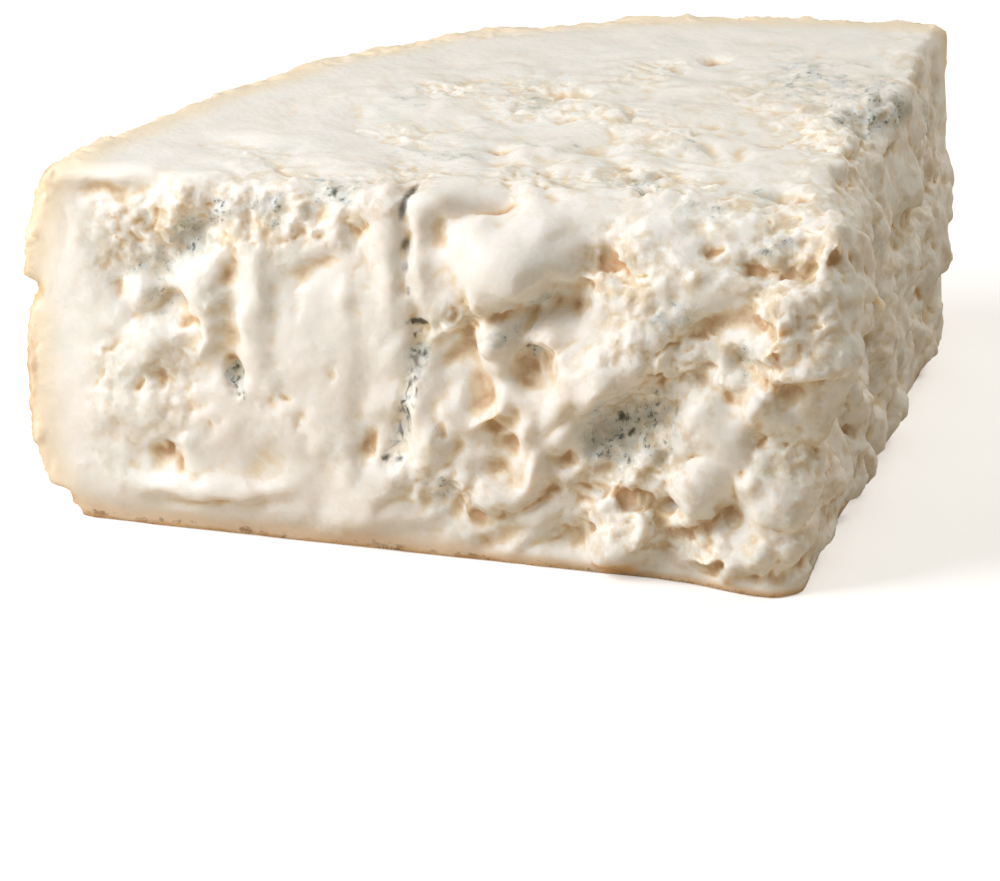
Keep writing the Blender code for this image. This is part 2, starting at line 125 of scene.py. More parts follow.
# Features of the cuts, in millimetres: place along the cut, place up it, half length, half
# height, tilt in degrees, and rise out of the cut. A negative rise is a hollow.
# On the left cut the first place is the distance from the rind, the second the height.
LEFT_FEATURES = (
    (92, 61, 9, 8.5, 0, 6.4),
    (79, 58, 3.5, 7, 0, -1.0),
    (99.5, 53.5, 8, 4.4, 24, -7.6),
    (80.5, 69, 7, 3.2, 52, -2.4),
    (89, 74, 5, 2.4, 10, -3.8),
    (20, 54, 10, 9, 38, -3.8),
    (28.5, 60.5, 6, 4, 48, -3.6),
    (29.5, 50.5, 4.4, 5.5, 0, 4.0),
    (18, 48.5, 3.2, 3, 0, 2.6),
    (31, 41, 3.4, 4.5, 0, 2.2),
    (37, 55, 3.2, 6, -8, -1.2),
    (41, 49, 3.0, 12, 0, 1.6),
    (23, 46, 6, 3, 8, -2.6),
    (36.5, 33.5, 2.0, 2.8, 0, -3.4),
    (23, 17, 3.4, 4.4, -20, -1.8),
    (30, 10, 17, 2.6, 4, 2.2),
    (41.5, 63, 2.4, 2.8, 0, -1.2),
    (56, 70.5, 4.5, 3.2, 8, -1.6),
    (68.3, 62, 2.8, 13, 6, 1.4),
    (63, 26, 2.4, 10, 4, -1.0),
    (52, 56, 7, 2.6, 34, -0.8),
    (84, 40, 6, 6.5, 0, -2.8),
    (90, 43, 3.4, 5, 0, 2.8),
    (97.5, 41, 3.4, 4.6, 8, -3.4),
    (91, 33, 8, 2.4, 38, 2.8),
    (94, 24.5, 5, 3, 34, -2.6),
    (75.5, 29, 3, 5.4, 0, 2.6),
    (101, 20.5, 3.4, 3, 0, 2.6),
    (113, 44, 11, 4.5, 38, 2.9),
    (118, 28, 11, 9, 20, -3.6),
    (110, 29, 13, 2.8, 43, -3.4),
    (104, 7, 7, 3.4, 28, -3.6),
    (135, 45.5, 3.6, 3, 0, -4.1),
    (140, 64, 10, 3.2, 3, -2.8),
    (141, 38.5, 4, 4.6, 16, 3.5),
    (144, 31, 5, 2.2, 28, -3.4),
    (134, 15, 3.8, 3.6, 0, -3.6),
    (124, 15, 3, 2.4, 0, -2.9),
    (140, 8.5, 7, 2.8, 26, 2.3),
    (12, 68.5, 8, 2.2, 10, -1.9),
    (129.5, 18, 3.4, 4.2, 0, 3.2),
    (137, 50, 3.4, 3, 0, 2.4),
    (146, 47, 4, 5, 0, 2.6),
    (134, 7.5, 5, 1.8, 25, 2.2),
    (81.5, 30, 3, 3.4, 0, 2.2),
    (88, 46.5, 3, 3, 0, 2.2),
    (143.5, 56, 2.2, 2.4, 0, -3.0),
)
# On the right cut the first place is the distance from the tip, the second the height.
RIGHT_FEATURES = (
    (33, 48, 6, 5, -14, -4.0),
    (31, 33.5, 4, 4, 0, -3.0),
    (59, 31, 6, 3.6, -10, -3.6),
    (65, 17.5, 8, 6, -8, -5.2),
    (85, 43, 6, 4, -10, -3.8),
    (113, 43, 6, 3, 0, -3.2),
    (78, 71, 8, 3.4, 0, -4.6),
    (94, 69, 3, 3, 0, -3.4),
    (127, 15, 7, 4, 0, -1.6),
    (54, 54, 6, 4, -10, -3.4),
    (100, 27, 5, 6, 0, -2.8),
    (12, 30, 4, 9, 0, -2.6),
    (44, 61, 7, 5, 0, 2.2),
    (47, 41, 5, 8, 10, 2.6),
    (76, 30, 6, 7, 0, 2.4),
    (84, 6, 11, 5, 0, 1.6),
    (103, 7, 6, 6, 0, -2.2),
    (64, 7, 5, 6, 0, -2.2),
    (137, 11, 8, 9, 0, 1.6),
    (22, 16, 6, 8, 0, 2.4),
    (108, 60, 9, 5, 0, 2.0),
    (133, 32, 10, 10, 0, 1.8),
    (6, 42, 2.6, 14, 0, 1.6),
    (22, 50, 2.6, 9, 8, 1.8),
    (42, 20, 4, 8, 0, 2.2),
    (96, 54, 6, 4, 10, 2.0),
)
# On the top cut the first place is the distance from the tip along the left edge, the second
# the distance inwards from that edge.
TOP_FEATURES = (
    (71, 34, 3, 3, 0, -2.0),
    (62, 5, 6, 5, 20, -3.0),
    (14, 22, 2.6, 3, 0, -3.0),
    (35, 17, 2.2, 2.4, 0, -2.3),
    (47, 107, 2.2, 3, 0, -2.0),
    (69, 74, 4, 4, 0, -1.6),
    (36, 40, 9, 5, 30, -1.5),
    (22, 62, 9, 7, 0, -1.6),
    (85, 45, 6, 5, 0, -1.4),
    (56, 60, 14, 7, 10, 1.4),
    (100, 70, 16, 12, 20, 1.1),
    (45, 85, 12, 7, 0, 1.2),
    (124, 24, 7, 4, 0, -1.1),
)
# Places of the left cut that were smeared smooth, with how calm they are in place of the rise
CALM_PLACES = (
    (92, 61, 12, 10, 0, 1.0),
    (55, 42, 13, 24, 0, 0.95),
    (68, 58, 3.6, 15, 6, 1.0),
    (7, 42, 8, 28, 0, 1.0),
    (28, 52, 4.5, 8, -8, 0.8),
    (41, 48, 3, 12, 0, 0.8),
    (30, 9, 30, 7, 4, 0.9),
    (84, 41, 5, 6, 0, 0.7),
    (92, 38, 5, 8, 10, 0.6),
    (110, 52, 9, 4, 12, 0.6),
    (134, 29, 6, 6, 0, 0.7),
    (144, 15, 5, 8, 0, 0.7),
)
# The needle channel that the left cut opened: its middle line, as distance from the rind and
# height, in millimetres.
NEEDLE_ROUTE = (
    (71, 77), (71.4, 66), (72.6, 55), (74.4, 48), (74.4, 41), (72.4, 32), (68.8, 19.5)
)
NEEDLE_HALF_WIDTH = 1.7
NEEDLE_DEPTH = 0.9

# Creases and swells of the rind: turn from the left cut in degrees, height in millimetres, half
# turn, half height, tilt and rise.
RIND_FEATURES = (
    (-1, 46, 9, 2.6, 0, -3.0),
    (2, 4.5, 8, 1.6, 0, -1.6),
    (15, 30, 9, 3.0, 8, -1.4),
    (27, 57, 8, 3.0, -6, -1.2),
    (33, 20, 6, 6.0, 0, 1.3),
    (46, 44, 10, 2.6, 4, -1.6),
    (58, 17, 9, 3.0, -8, -1.2),
    (66, 52, 7, 7.0, 0, 1.2),
    (78, 36, 9, 2.8, 6, -1.5),
)

# Noise: the count and the seed of its directions, the numbers that stir its keys, the gain that
# brings it up to about 1, and the middle of what puffs makes of it
NOISE_TABLE = 4096
NOISE_SEED = 7
AXIS_KEYS = (73856093, 19349663, 83492791)
SEED_KEY = 2654435
STIR_KEY = 1274126177
NOISE_GAIN = 1.7
PUFF_MIDDLE = 0.33


def smoothstep(values, low, high):
    """0 below low, 1 above high, and a smooth ramp between them. low may exceed high."""
    ramp = np.clip((values - low) / (high - low), 0.0, 1.0)
    return ramp * ramp * (3 - 2 * ramp)


def unit_vectors():
    """The directions that the noise draws from, evenly spread and seeded: one row for each axis."""
    drawn = np.random.default_rng(NOISE_SEED).normal(size=(3, NOISE_TABLE))
    return drawn / np.linalg.norm(drawn, axis=0)


DIRECTIONS = unit_vectors()


def hashed(keys):
    """A repeatable place in DIRECTIONS for each key."""
    stirred = (keys ^ (keys >> 15)) * STIR_KEY
    return (stirred ^ (stirred >> 13)) & (NOISE_TABLE - 1)


def noise(points, cell, seed):
    """Smooth noise from about -1 to 1, with swells about one cell across."""
    scaled = (points / cell).T
    low = np.floor(scaled)
    near = scaled - low
    fade = near**3 * (near * (near * 6 - 15) + 10)
    whole = low.astype(np.int64)
    keys = [[(row + step) * factor for step in (0, 1)] for row, factor in zip(whole, AXIS_KEYS)]
    shares = [(1 - row, row) for row in fade]
    reaches = [(row, row - 1) for row in near]
    total = np.zeros(len(points))
    for i, j, k in itertools.product((0, 1), repeat=3):
        slope = DIRECTIONS[:, hashed(keys[0][i] ^ keys[1][j] ^ keys[2][k] ^ seed * SEED_KEY)]
        climb = reaches[0][i] * slope[0] + reaches[1][j] * slope[1] + reaches[2][k] * slope[2]
        total += shares[0][i] * shares[1][j] * shares[2][k] * climb
    return NOISE_GAIN * total


def puffs(points, cell, seed, crease=CREASE_WIDTH):
    """Puffed lumps with creases between them: from about -0.2 in a crease to 0.6 on a lump."""
    return np.sqrt(noise(points, cell, seed) ** 2 + crease**2) - PUFF_MIDDLE


def warped(points, cell, reach, seed):
    """The points, each moved by up to about reach, so that what is drawn at them looks torn."""
    moves = [noise(points, cell, seed + axis) for axis in range(3)]
    return points + reach * np.stack(moves, axis=1)


def feature_sum(along, up, features):
    """The height in millimetres of all the lumps and hollows at places along and up a cut."""
    total = np.zeros(len(along))
    for middle_along, middle_up, half_along, half_up, tilt, rise in features:
        cosine, sine = math.cos(math.radians(tilt)), math.sin(math.radians(tilt))
        from_along, from_up = along - middle_along, up - middle_up
        first = (cosine * from_along + sine * from_up) / half_along
        second = (cosine * from_up - sine * from_along) / half_up
        total += rise * np.exp(-((first**2 + second**2) ** 1.4))
    return total


def distance_to_route(along, up, route):
    """Distance from each place to a line through the route's points."""
    nearest = np.full(len(along), 1e3)
    for (a_0, u_0), (a_1, u_1) in itertools.pairwise(route):
        run, rise = a_1 - a_0, u_1 - u_0
        share = ((along - a_0) * run + (up - u_0) * rise) / (run * run + rise * rise)
        share = np.clip(share, 0.0, 1.0)
        gap = np.hypot(along - a_0 - share * run, up - u_0 - share * rise)
        nearest = np.minimum(nearest, gap)
    return nearest


def rim_radius(height):
    """Radius of the wheel's back at a height: it bulges, and is rounded above and below."""
    share = height / WEDGE_HEIGHT
    bulge = RIM_BULGE * (1 - abs(2 * share - 1) ** BULGE_SQUARENESS)
    foot = max(0.0, 1 - height / FOOT_ROUND)
    above = max(0.0, 1 - (WEDGE_HEIGHT - height) / TOP_EDGE_ROUND)
    inset = FOOT_INSET * (1 - math.sqrt(1 - foot**2)) + 0.6 * TOP_EDGE_ROUND * above**2
    return WHEEL_RADIUS + bulge - inset


def turned_wedge():
    """The plain wedge: the half wheel's outline turned about the tip's edge."""
    mesh = bmesh.new()
    turns = [math.pi * i / RIM_POINTS for i in range(RIM_POINTS + 1)]
    heights = [WEDGE_HEIGHT * (1 + math.cos(turn)) / 2 for turn in turns]
    outline = [(0.0, 0.0), (0.0, WEDGE_HEIGHT)] + [(rim_radius(z), z) for z in heights]
    corners = [mesh.verts.new(r * ALONG_RIGHT + TIP + (0, 0, z)) for r, z in outline]
    face = mesh.faces.new(corners)
    bmesh.ops.spin(
        mesh,
        geom=[face, *face.edges, *corners],
        cent=TIP,
        axis=(0, 0, 1),
        angle=WEDGE_ANGLE,
        steps=TURN_STEPS,
    )
    bmesh.ops.remove_doubles(mesh, verts=mesh.verts, dist=0.0001)
    bmesh.ops.recalc_face_normals(mesh, faces=mesh.faces)
    data = bpy.data.meshes.new("wedge")
    mesh.to_mesh(data)
    mesh.free()
    return data


def evaluated_copy(obj):
    """The object's mesh with its modifiers applied."""
    graph = bpy.context.evaluated_depsgraph_get()
    return bpy.data.meshes.new_from_object(obj.evaluated_get(graph))


def evenly_meshed(data, voxel, smooth_steps):
    """The same shape with even quads and softly rounded edges."""
    obj = bpy.data.objects.new("even", data)
    bpy.context.scene.collection.objects.link(obj)
    remesh = obj.modifiers.new("even quads", "REMESH")
    remesh.mode = "VOXEL"
    remesh.voxel_size = voxel
    soften = obj.modifiers.new("soft edges", "SMOOTH")
    soften.factor = 0.5
    soften.iterations = smooth_steps
    even = evaluated_copy(obj)
    bpy.data.objects.remove(obj)
    return even


def read_points(data):
    """A mesh's vertices and their normals, as arrays."""
    points = np.empty(len(data.vertices) * 3)
    normals = np.empty(len(data.vertices) * 3)
    data.vertices.foreach_get("co", points)
    data.vertices.foreach_get("normal", normals)
    return points.reshape(-1, 3), normals.reshape(-1, 3)


def places(points):
    """Where each point lies in the wedge, in metres: its depth under each face and so on."""
    local = points - TIP
    radius = np.hypot(local[:, 0], local[:, 1])
    turn = LEFT_DIRECTION - np.arctan2(local[:, 1], local[:, 0])
    heights = np.linspace(0, WEDGE_HEIGHT, RIM_SAMPLES)
    rim = np.interp(points[:, 2], heights, [rim_radius(z) for z in heights])
    return {
        "turn": turn,
        "radius": radius,
        "height": points[:, 2],
        "under_rim": rim - radius,
        "under_top": WEDGE_HEIGHT - points[:, 2],
        "under_left": -local @ OUT_OF_LEFT,
        "under_right": -local @ OUT_OF_RIGHT,
        "along_left": local @ ALONG_LEFT,
        "along_right": local @ ALONG_RIGHT,
    }


def crag_strength(place, points):
    """How craggy the paste is at each point, from 0 at the rind to 1 near the tip."""
    wander = 0.004 * noise(points, 0.014, 21)
    from_rim = smoothstep(place["under_rim"] + wander, SMOOTH_BESIDE_RIND, 0.020)
    near_tip = smoothstep(place["radius"] + wander, CRAGS_CALM_BEYOND, CRAGS_FULL_WITHIN)
    full_above = 0.008 - 0.004 * near_tip
    from_base = smoothstep((place["height"] + wander / 4) / full_above, SMOOTH_ABOVE_BASE, 1.0)
    near_tip = np.maximum(near_tip, 0.42 * smoothstep(place["under_right"], 0.012, 0.005))
    from_rim_on_left = TIP_FROM_RIND - place["along_left"] / MM
    calm = np.clip(feature_sum(from_rim_on_left, place["height"] / MM, CALM_PLACES), 0.0, 1.0)
    calm = calm * smoothstep(place["under_left"], 0.012, 0.005)
    on_top = smoothstep(place["under_top"], 0.012, 0.004)
    on_top = on_top * smoothstep(np.minimum(place["under_left"], place["under_right"]), 0.001, 0.009)
    strength = from_rim * from_base * (CRAGS_AT_RIND + (1 - CRAGS_AT_RIND) * near_tip)
    return strength * (1 - 0.9 * calm) * (1 - TOP_CALM * on_top)


def aslant(place):
    """Places drawn out along the slant of the left cut's crags."""
    along = place["under_right"]
    risen = place["height"] + CRAG_SLANT * along
    return np.stack([-along / CRAG_LENGTH, risen, place["under_left"]], axis=1)


def crags(place, strength):
    """Height of the torn lumps and creases, in millimetres."""
    torn = warped(aslant(place), 0.011, 0.0045, 31)
    lumps = LUMP_HEIGHT * puffs(torn, LUMP_SIZE, 3)
    knobs = KNOB_HEIGHT * puffs(torn, KNOB_SIZE, 41)
    swells = SWELL_HEIGHT * (noise(torn, SWELL_SIZE, 51) + noise(torn, LUMP_SIZE, 53))
    return strength * (lumps + knobs + swells)


def relief(points, place):
    """How far each point of the plain wedge moves along its normal, in metres."""
    paste = smoothstep(place["under_rim"], 0.000, 0.006)
    torn = warped(warped(points, 0.007, 0.0013, 61), 0.0028, 0.0006, 71)
    at = places(torn)
    on_left = smoothstep(place["under_left"], 0.010, 0.003)
    on_right = smoothstep(place["under_right"], 0.010, 0.003)
    on_top = smoothstep(place["under_top"], 0.010, 0.003)
    from_rim = TIP_FROM_RIND - at["along_left"] / MM
    left = feature_sum(from_rim, at["height"] / MM, LEFT_FEATURES)
    route = distance_to_route(from_rim, at["height"] / MM, NEEDLE_ROUTE)
    left -= NEEDLE_DEPTH * np.exp(-((route / NEEDLE_HALF_WIDTH) ** 4))
    right = feature_sum(at["along_right"] / MM, at["height"] / MM, RIGHT_FEATURES)
    top = feature_sum(at["along_left"] / MM, at["under_left"] / MM, TOP_FEATURES)
    shaped = on_left * left + on_right * right + on_top * top
    torn_part = crags(place, crag_strength(place, points))
    return MM * paste * (shaped + torn_part)


def round_corner(points, into_first, into_second, depth_first, depth_second, radius):
    """Rolls the square corner between two faces onto an arc of the given radius."""
    first = depth_first - radius
    second = depth_second - radius
    reach = np.hypot(first, second)
    inside = (first < 0) & (second < 0) & (reach > radius)
    shrink = np.where(inside, 1 - radius / np.maximum(reach, 1e-6), 0.0)[:, None]
    return points - shrink * (first[:, None] * into_first + second[:, None] * into_second)


def rounded(points):
    """The plain wedge's points with its tip and the two edges of the top cut worn round."""
    down = np.array([0.0, 0.0, -1.0])
    place = places(points)
    points = round_corner(
        points, -OUT_OF_LEFT, -OUT_OF_RIGHT, place["under_left"], place["under_right"], TIP_ROUND
    )
    place = places(points)
    radius = EDGE_ROUND_AT_RIND + (EDGE_ROUND_AT_TIP - EDGE_ROUND_AT_RIND) * smoothstep(
        place["along_left"], 0.080, 0.045
    )
    points = round_corner(points, -OUT_OF_LEFT, down, place["under_left"], place["under_top"], radius)
    place = places(points)
    radius = EDGE_ROUND_AT_RIND + 0.4 * (EDGE_ROUND_AT_TIP - EDGE_ROUND_AT_RIND) * smoothstep(
        place["along_right"], 0.100, 0.030
    )
    return round_corner(points, -OUT_OF_RIGHT, down, place["under_right"], place["under_top"], radius)


def rim_wave(turn):
    """How far the wheel's back stands out beyond a true round at a turn from the left cut."""
    return RIM_WAVE * np.sin(2 * math.pi * (np.degrees(turn) - RIM_WAVE_START) / RIM_WAVE_TURN)


def slump(points, place):
    """The soft paste's sag: cuts that belly out, and draw in again above the base's rind."""
    share = np.clip(place["height"] / WEDGE_HEIGHT, 0.0, 1.0)
    belly = CUT_SAG * np.sin(math.pi * share**0.8)
    undercut = BASE_UNDERCUT * smoothstep(place["height"], 0.007, 0.001)
    on_left = smoothstep(place["under_left"], 0.006, 0.001)[:, None]
    on_right = smoothstep(place["under_right"], 0.006, 0.001)[:, None]
    inner = smoothstep(place["under_rim"], 0.0, 0.020)
    push = (belly * inner - undercut)[:, None]
    moved = push * (on_left * OUT_OF_LEFT + on_right * OUT_OF_RIGHT)
    lean = TIP_LEAN * smoothstep(place["height"], 0.025, 0.062)
    lean = lean * smoothstep(place["along_right"], 0.060, 0.010)
    lean = lean * smoothstep(place["under_right"], 0.040, 0.005)
    flow = TIP_FLOW * smoothstep(place["height"], 0.014, 0.002)
    flow = flow * smoothstep(place["radius"], 0.026, 0.008)
    moved += lean[:, None] * OUT_OF_RIGHT + flow[:, None] * TIP_FLOW_DIRECTION
    wave = rim_wave(place["turn"]) * (place["radius"] / WHEEL_RADIUS) ** 4
    local = points - TIP
    outward = local * (1, 1, 0) / np.maximum(place["radius"], 0.001)[:, None]
    return moved + wave[:, None] * outward


def rind_roughness(points, place):
    """How far the rind's folds and puckers move each point along its normal, in metres."""
    on_rind = smoothstep(place["under_rim"], 0.005, 0.001)
    folds = feature_sum(np.degrees(place["turn"]), place["height"] / MM, RIND_FEATURES)
    skin = RIND_SWELL * noise(points, 0.016, 81) + RIND_PUCKER * noise(points, 0.007, 91)
    return on_rind * MM * (folds + skin)


def carve(data):
    """Moves the plain wedge's vertices to the cheese's real surface."""
    points, _ = read_points(data)
    data.vertices.foreach_set("co", rounded(points).ravel())
    data.update()
    points, normals = read_points(data)
    place = places(points)
    above_base = smoothstep(points[:, 2], 0.0002, 0.0025)
    rise = (relief(points, place) + rind_roughness(points, place)) * above_base
    # Torn paste hangs a little below the place that it was torn from.
    hang = np.outer(np.maximum(rise, 0) * TORN_HANG * above_base, (0, 0, -1))
    moved = points + slump(points, place) + normals * rise[:, None] + hang
    moved[points[:, 2] < FLAT_BELOW, 2] = 0.0
    data.vertices.foreach_set("co", moved.ravel())
    data.update()


def cut_places(points):
    """Each point's place on the left cut, the right cut and the top, in millimetres and warped."""
    torn = warped(warped(points, 0.006, 0.0012, 61), 0.0022, 0.0006, 71)
    at = places(torn)
    return {
        "left": (TIP_FROM_RIND - at["along_left"] / MM, at["height"] / MM),
        "right": (at["along_right"] / MM, at["height"] / MM),
        "top": (at["along_left"] / MM, at["under_left"] / MM),
    }


def on_faces(place):
    """How much each point belongs to the left cut, the right cut and the top, from 0 to 1."""
    return {
        "left": smoothstep(place["under_left"], 0.013, 0.007),
        "right": smoothstep(place["under_right"], 0.013, 0.007),
        "top": smoothstep(place["under_top"], 0.007, 0.003),
    }


def small_features(points, place):
    """Height in metres of the small pits, crumbs, folds and marks that the cuts show."""
    face = on_faces(place)
    at = cut_places(points)
    left = face["left"] * feature_sum(*at["left"], LEFT_DETAILS)
    top = face["top"] * feature_sum(*at["top"], TOP_DETAILS)
    return DETAIL_DEPTH * MM * (left + top)


def crumbliness(points, place):
    """How crumbly, rather than smeared, each point of the paste is, from 0 to 1."""
    face = on_faces(place)
    at = cut_places(points)
    amount = face["left"] * feature_sum(*at["left"], LEFT_CRUMBLY)
    amount += face["top"] * feature_sum(*at["top"], TOP_CRUMBLY) + 0.45 * face["right"]
    return np.clip(amount + 0.45 * noise(points, 0.016, 151), 0.0, 1.0)


def fine_crags(points, place):
    """Height in metres of the small lumps, folds and crumbs of the torn paste."""
    from_edges = smoothstep(place["under_rim"], 0.006, 0.014)
    from_edges = from_edges * smoothstep(place["height"], 0.001, 0.004)
    torn = (0.55 + 0.45 * crag_strength(place, points)) * from_edges
    crumbly = crumbliness(points, place)
    medium = warped(points, 0.0060, 0.0024, 131)
    small = warped(points, 0.0030, 0.0013, 161)
    folds = FOLD * puffs(medium, FOLD_SIZE, 13) * (0.25 + 0.75 * crumbly)
    crests = CREST * (0.30 - np.abs(noise(small, CREST_SIZE, 177)))
    crumbs = CRUMB * puffs(small, CRUMB_SIZE, 23, FINE_CREASE)
    crumbs = crumbs + GRAIN * puffs(small, GRAIN_SIZE, 171, FINE_CREASE)
    return MM * torn * (folds + crumbly * (crests + crumbs))


def smears(points, place):
    """Height in metres of the soft swells and strokes that the knife left on the paste."""
    paste = smoothstep(place["under_rim"], 0.004, 0.010)
    paste = paste * (0.4 + 0.6 * smoothstep(crag_strength(place, points), 0.05, 0.45))
    bent = warped(points, 0.020, 0.005, 201)
    at = places(bent)
    along = np.stack([at["along_left"] * 0.3, at["under_left"], at["height"]], axis=1)
    uneven = smoothstep(noise(points, 0.026, 197), -0.10, 0.45)
    on_top = on_faces(place)["top"]
    uneven = uneven * (1 - 0.7 * on_top)
    paste = paste * (1 - 0.6 * on_top * smoothstep(place["radius"], 0.080, 0.115))
    strokes = STROKE * (noise(along, 0.0055, 211) + 0.5 * noise(along, 0.0025, 221)) * uneven
    swells = SOFT_SWELL * (noise(bent, 0.0140, 191) + 0.25 * noise(bent, 0.0070, 193))
    return MM * paste * (strokes + swells)


def rind_grain(points, place):
    """Height in metres of the small wrinkles and pocks of the rind."""
    on_rind = smoothstep(place["under_rim"], 0.006, 0.002)
    height = np.zeros(len(points))
    near = on_rind > 0
    skin = warped(points[near], 0.006, 0.0030, 231)
    wrinkles = RIND_WRINKLE * puffs(skin, RIND_WRINKLE_SIZE, 241)
    wrinkles = wrinkles + RIND_CRUST * puffs(skin, RIND_CRUST_SIZE, 243)
    pocks = np.maximum(noise(points[near], RIND_POCK_SIZE, 251) - RIND_POCK_SPARSE, 0)
    height[near] = wrinkles - RIND_POCK * pocks
    return MM * on_rind * height


def tear(data):
    """Adds the finer relief to the coarse form."""
    points, normals = read_points(data)
    place = places(points)
    above_base = smoothstep(points[:, 2], 0.0004, 0.0025)
    rise = small_features(points, place) + fine_crags(points, place)
    rise = (rise + smears(points, place) + rind_grain(points, place)) * above_base
    moved = points + normals * rise[:, None]
    moved[points[:, 2] < FLAT_BELOW, 2] = 0.0
    data.vertices.foreach_set("co", moved.ravel())
    data.update()


def blurred(values, ends, times):
    """The values after each vertex has mixed with its neighbours the given number of times."""
    first, second = ends[:, 0], ends[:, 1]
    count = np.bincount(first, minlength=len(values)) + np.bincount(second, minlength=len(values))
    count = np.maximum(count, 1)
    values = values.copy()
    columns = values.reshape(len(values), -1)
    for _ in range(times):
        for column in range(columns.shape[1]):
            one = columns[:, column]
            total = np.bincount(first, weights=one[second], minlength=len(one))
            total += np.bincount(second, weights=one[first], minlength=len(one))
            columns[:, column] = BLUR_KEEPS * one + (1 - BLUR_KEEPS) * total / count
    return values


def edge_ends(data):
    """The two vertices of each edge."""
    ends = np.empty(2 * len(data.edges), np.int32)
    data.edges.foreach_get("vertices", ends)
    return ends.reshape(-1, 2)


def hollowness(points, normals, ends):
    """How far each point lies in a crease or a cavity, from 0 to 1 and a little more."""
    near = ((blurred(points, ends, NEAR_BLUR) - points) * normals).sum(axis=1)
    far = ((blurred(points, ends, FAR_BLUR) - points) * normals).sum(axis=1)
    near = np.clip(near / (NEAR_HOLLOW * MM), 0, HOLLOW_LIMIT) * NEAR_WEIGHT
    return near + np.clip(far / (FAR_HOLLOW * MM), 0, HOLLOW_LIMIT) * FAR_WEIGHT


def mould_amount(points, place):
    """How mouldy each point is, from 0 to 1."""
    face = on_faces(place)
    at = cut_places(points)
    amount = face["left"] * feature_sum(*at["left"], LEFT_MOULD)
    amount += face["right"] * feature_sum(*at["right"], RIGHT_MOULD)
    amount += face["top"] * feature_sum(*at["top"], TOP_MOULD)
    straight = (TIP_FROM_RIND - place["along_left"] / MM, place["height"] / MM)
    route = distance_to_route(*straight, NEEDLE_ROUTE)
    banded = 0.20 + 0.25 * smoothstep(place["height"], 0.050, 0.044)
    banded = banded * smoothstep(place["under_left"], 0.010, 0.006)
    amount += banded * np.exp(-((route / NEEDLE_MOULD_HALF_WIDTH) ** 4))
    return np.clip(amount, 0, MOULD_LIMIT)


def dash_amount(points, place):
    """Where the darkest marks of the mould are, from 0 to 1."""
    face = on_faces(place)
    along = TIP_FROM_RIND - place["along_left"] / MM
    up = place["height"] / MM
    amount = feature_sum(along, up, LEFT_DASHES)
    route = distance_to_route(along, up, NEEDLE_ROUTE)
    phase = 2 * math.pi * (up + CHEVRON_SLANT * route) / CHEVRON_STEP
    chevrons = np.sin(phase + CHEVRON_WANDER * noise(points, 0.004, 261))
    legs = np.exp(-((route / CHEVRON_HALF_WIDTH) ** 4)) * smoothstep(np.abs(chevrons), 0.80, 0.25)
    amount += legs * smoothstep(up, *CHEVRONS_END) * smoothstep(up, *CHEVRONS_START)
    return np.clip(face["left"] * amount, 0, 1)


def under_rind(place):
    """Depth under the wheel's back, with its wave."""
    return place["under_rim"] + rim_wave(place["turn"]) * (place["radius"] / WHEEL_RADIUS) ** 4


def rind_amount(points, normals, place):
    """1 on the skin of the back and of the base, and 0 elsewhere."""
    local = points - TIP
    outward = local * (1, 1, 0) / np.maximum(place["radius"], 0.001)[:, None]
    facing_out = (normals * outward).sum(axis=1)
    back = smoothstep(facing_out, 0.45, 0.70) * smoothstep(place["under_rim"], 0.012, 0.008)
    base = smoothstep(-normals[:, 2], 0.45, 0.70) * smoothstep(place["height"], 0.0040, 0.0025)
    return np.maximum(back, base)


def write_attribute(data, name, values):
    """Stores one number for each vertex under a name that a material can read."""
    attribute = data.attributes.new(name, "FLOAT", "POINT")
    attribute.data.foreach_set("value", values.astype(np.float32))


def mark(data):
    """Writes what the material needs to know about each vertex."""
    points, normals = read_points(data)
    place = places(points)
    ends = edge_ends(data)
    rind = rind_amount(points, normals, place)
    mould = mould_amount(points, place)
    # How hollow each place is, which sets the shade painted into the creases; less where there is
    # mould
    hollow = hollowness(points, normals, ends) * (1 - 0.6 * np.clip(2 * mould, 0, 1))
    write_attribute(data, "hollow", hollow)
    write_attribute(data, "mould", mould)
    write_attribute(data, "dash", dash_amount(points, place))
    write_attribute(data, "crumbly", crumbliness(points, place))
    write_attribute(data, "rind", np.clip(blurred(rind, ends, 3) * 1.5, 0, 1))
    near_rim = smoothstep(under_rind(place), 0.013, 0.000)
    # The band along the base where tan shade is painted, narrower towards the tip
    band = 0.0065 - 0.0035 * smoothstep(place["radius"], 0.080, 0.030)
    near_base = smoothstep(place["height"] / band, 1.0, 0.1)
    write_attribute(data, "near_rind", near_rim)
    write_attribute(data, "near_base", near_base)
    write_attribute(data, "torn", crag_strength(place, points))


def fewer_triangles(data):
    """The mesh brought under the most triangles that one piece may have."""
    obj = bpy.data.objects.new("thinned", data)
    bpy.context.scene.collection.objects.link(obj)
    decimate = obj.modifiers.new("fewer triangles", "DECIMATE")
    decimate.ratio = min(1.0, MOST_TRIANGLES / (2 * len(data.polygons)))
    decimate.use_collapse_triangulate = True
    thin = evaluated_copy(obj)
    bpy.data.objects.remove(obj)
    return thin


def cheese_mesh():
    """The whole wedge as a fine mesh."""
    coarse = evenly_meshed(turned_wedge(), COARSE_VOXEL, COARSE_SMOOTH)
    carve(coarse)
    fine = evenly_meshed(coarse, FINE_VOXEL, FINE_SMOOTH)
    tear(fine)
    mark(fine)
    thin = fewer_triangles(fine)
    thin.shade_smooth()
    return thin


# Materials


def linear(red, green, blue):
    """A colour given as it looks on a screen, 0 to 255, as the light values that shaders take."""
    shares = [value / 255 for value in (red, green, blue)]
    return (*[s / 12.92 if s <= 0.04045 else ((s + 0.055) / 1.055) ** 2.4 for s in shares], 1.0)


